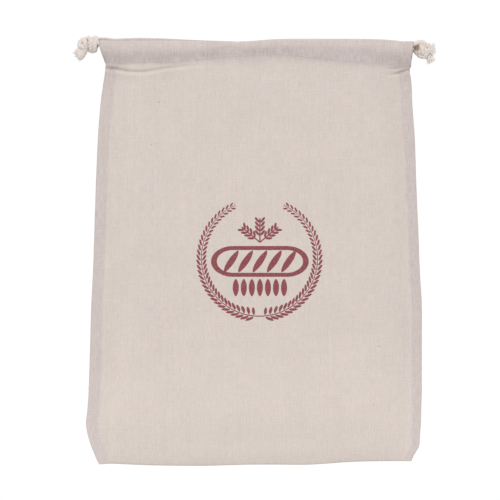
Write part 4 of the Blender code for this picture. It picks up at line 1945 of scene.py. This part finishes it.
@dataclass(frozen=True)
class Knot:
    """The two cords tied together at a corner of the mouth, with their cut ends.

    Attributes:
        name: Which knot it is.
        node: The solid that it stands for.
        strands: The lengths of cord that it is made of.
        seed: Seed of its loose fibres.
        yarns: Number of loose yarns at a frayed end.
        spread: How far they fan out.
        yarn_length: Their length.
        yarn: Half thickness of a yarn.
    """

    name: str
    node: str
    strands: tuple[Strand, ...]
    seed: int
    yarns: int
    spread: float
    yarn_length: float = 3.0
    yarn: float = 0.34

    def build(self) -> list[bpy.types.Object]:
        """Make the knot and its loose fibres.

        Returns:
            The knot, and its fibres.
        """
        finish = Cotton(f"cotton_{self.name}").material()
        # The loose fibres are paler than the cord, partly their own colour and partly painted light against
        # their shade, and give off a painted glow.
        loose = Cotton(f"loose_{self.name}", crown=(0.89, 0.84, 0.80), painted_glow=0.12).material()
        twist = Twist()
        cord, fibres = Draft.empty(), Draft.empty()
        fuzz = Fuzz(self.seed)
        for i, strand in enumerate(self.strands):
            run = twist.cord(strand.route, start_turn=1.3 * i)
            # Painted shade: a sunk strand is painted all over in the recess colour.
            if strand.sunk_and_shaded:
                run.marks = [1.0] * len(run.marks)
            cord.add(run)
            if strand.frayed:
                fibres.add(fuzz.tuft(strand, self.yarns, self.yarn_length, self.spread, self.yarn))
        fibres.add(fuzz.on(tuple(s for s in self.strands if not s.sunk_and_shaded), twist))
        knot = cord.piece(self.name, finish, "cotton_cord")
        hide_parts(self.node)
        return [knot, fibres.piece(f"{self.name}_fibres", loose, "cotton_cord")]


# --- The studio ---


@dataclass(frozen=True)
class Studio:
    """A white table under soft light from beyond the mouth, looked at from straight above.

    Attributes:
        floor_half: Half width of the table, in metres.
        floor_light: Brightness of the table.
        sky_light: Brightness of the room.
        key_light: Strength of the main light.
        key_height_deg: Height of the main light above the table.
        key_side_deg: How far the main light stands to the left of the mouth.
        key_soft_deg: Apparent size of the main light.
        lens: Focal length of the camera.
        view_width: Width of the table that the camera sees, in metres.
        aim_x: How far to the right of the bag's middle the camera looks, in metres.
        aim_y: How far above the bag's middle the camera looks, in metres.
        focus_height: Height above the table at which the view has its width, in metres.
    """

    floor_half: float = 4.0
    floor_light: float = 1.02
    sky_light: float = 0.57
    key_light: float = 1.56
    key_height_deg: float = 60.0
    key_side_deg: float = 6.0
    key_soft_deg: float = 34.0
    lens: float = 400.0
    view_width: float = 0.4673
    aim_x: float = -0.0063
    aim_y: float = 0.0009
    focus_height: float = 0.004

    def floor(self) -> None:
        """Make the white table."""
        half = self.floor_half
        mesh = bpy.data.meshes.new("table")
        corners = [(-half, -half), (half, -half), (half, half), (-half, half)]
        mesh.from_pydata([(x, y, -0.0002) for x, y in corners], [], [(0, 1, 2, 3)])
        recipe = Recipe("white_table")
        recipe.set("Base Color", (0.0, 0.0, 0.0, 1.0))
        recipe.set("Specular IOR Level", 0.0)
        recipe.set("Emission Color", (1.0, 1.0, 1.0, 1.0))
        recipe.set("Emission Strength", self.floor_light)
        mesh.materials.append(recipe.material)
        table = put_in_scene(bpy.data.objects.new("table", mesh))
        table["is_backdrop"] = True

    def lights(self) -> None:
        """Make the room's even light and the soft main light."""
        world = bpy.data.worlds.new("studio")
        world.use_nodes = True
        background = world.node_tree.nodes["Background"]
        background.inputs["Color"].default_value = (1.0, 1.0, 1.0, 1.0)
        background.inputs["Strength"].default_value = self.sky_light
        bpy.context.scene.world = world
        lamp = bpy.data.lights.new("window", "SUN")
        lamp.energy = self.key_light
        lamp.angle = math.radians(self.key_soft_deg)
        key = put_in_scene(bpy.data.objects.new("window", lamp))
        tilt, side = math.radians(90 - self.key_height_deg), math.radians(self.key_side_deg)
        key.matrix_world = Matrix.Rotation(side, 4, "Z") @ Matrix.Rotation(-tilt, 4, "X")

    def camera(self, low: Vector, high: Vector) -> None:
        """Make the camera, straight above the bag.

        Args:
            low: The bag's lowest corner.
            high: Its highest corner.
        """
        data = bpy.data.cameras.new("above")
        data.lens = self.lens
        distance = self.view_width * self.lens / data.sensor_width
        data.clip_start, data.clip_end = 0.1, 4 * distance
        made = put_in_scene(bpy.data.objects.new("above", data))
        middle = (low + high) / 2
        made.location = (middle.x + self.aim_x, middle.y + self.aim_y, self.focus_height + distance)
        bpy.context.scene.camera = made

    def build(self, low: Vector, high: Vector) -> None:
        """Make the whole studio round a bag.

        Args:
            low: The bag's lowest corner.
            high: Its highest corner.
        """
        self.floor()
        self.lights()
        self.camera(low, high)
        bpy.context.scene.view_settings.view_transform = "Standard"


def main() -> None:
    """Make the bag's looks and the studio, and log each piece's face count."""
    logging.basicConfig(level=logging.INFO, format="%(name)s: %(message)s")
    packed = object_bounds()
    Studio().build(*packed)

    cloth = Cloth()
    pieces = [cloth.build()]
    stitches = HemStitches(cloth)
    pieces += [stitches.build(front=True), stitches.build(front=False)]
    pieces += [Drawcord().build(front=True), Drawcord().build(front=False)]
    left = Knot("knot_left_cords", "knot_left", LEFT_KNOT, seed=11, yarns=150, spread=0.45)
    right = Knot(
        "knot_right_cords", "knot_right", RIGHT_KNOT,
        seed=23, yarns=120, spread=0.34, yarn_length=5.4, yarn=0.42,
    )
    pieces += left.build() + right.build()
    for piece in pieces:
        LOG.info("%s: %d faces", piece.name, len(piece.data.polygons))


if __name__ == "__main__":
    main()
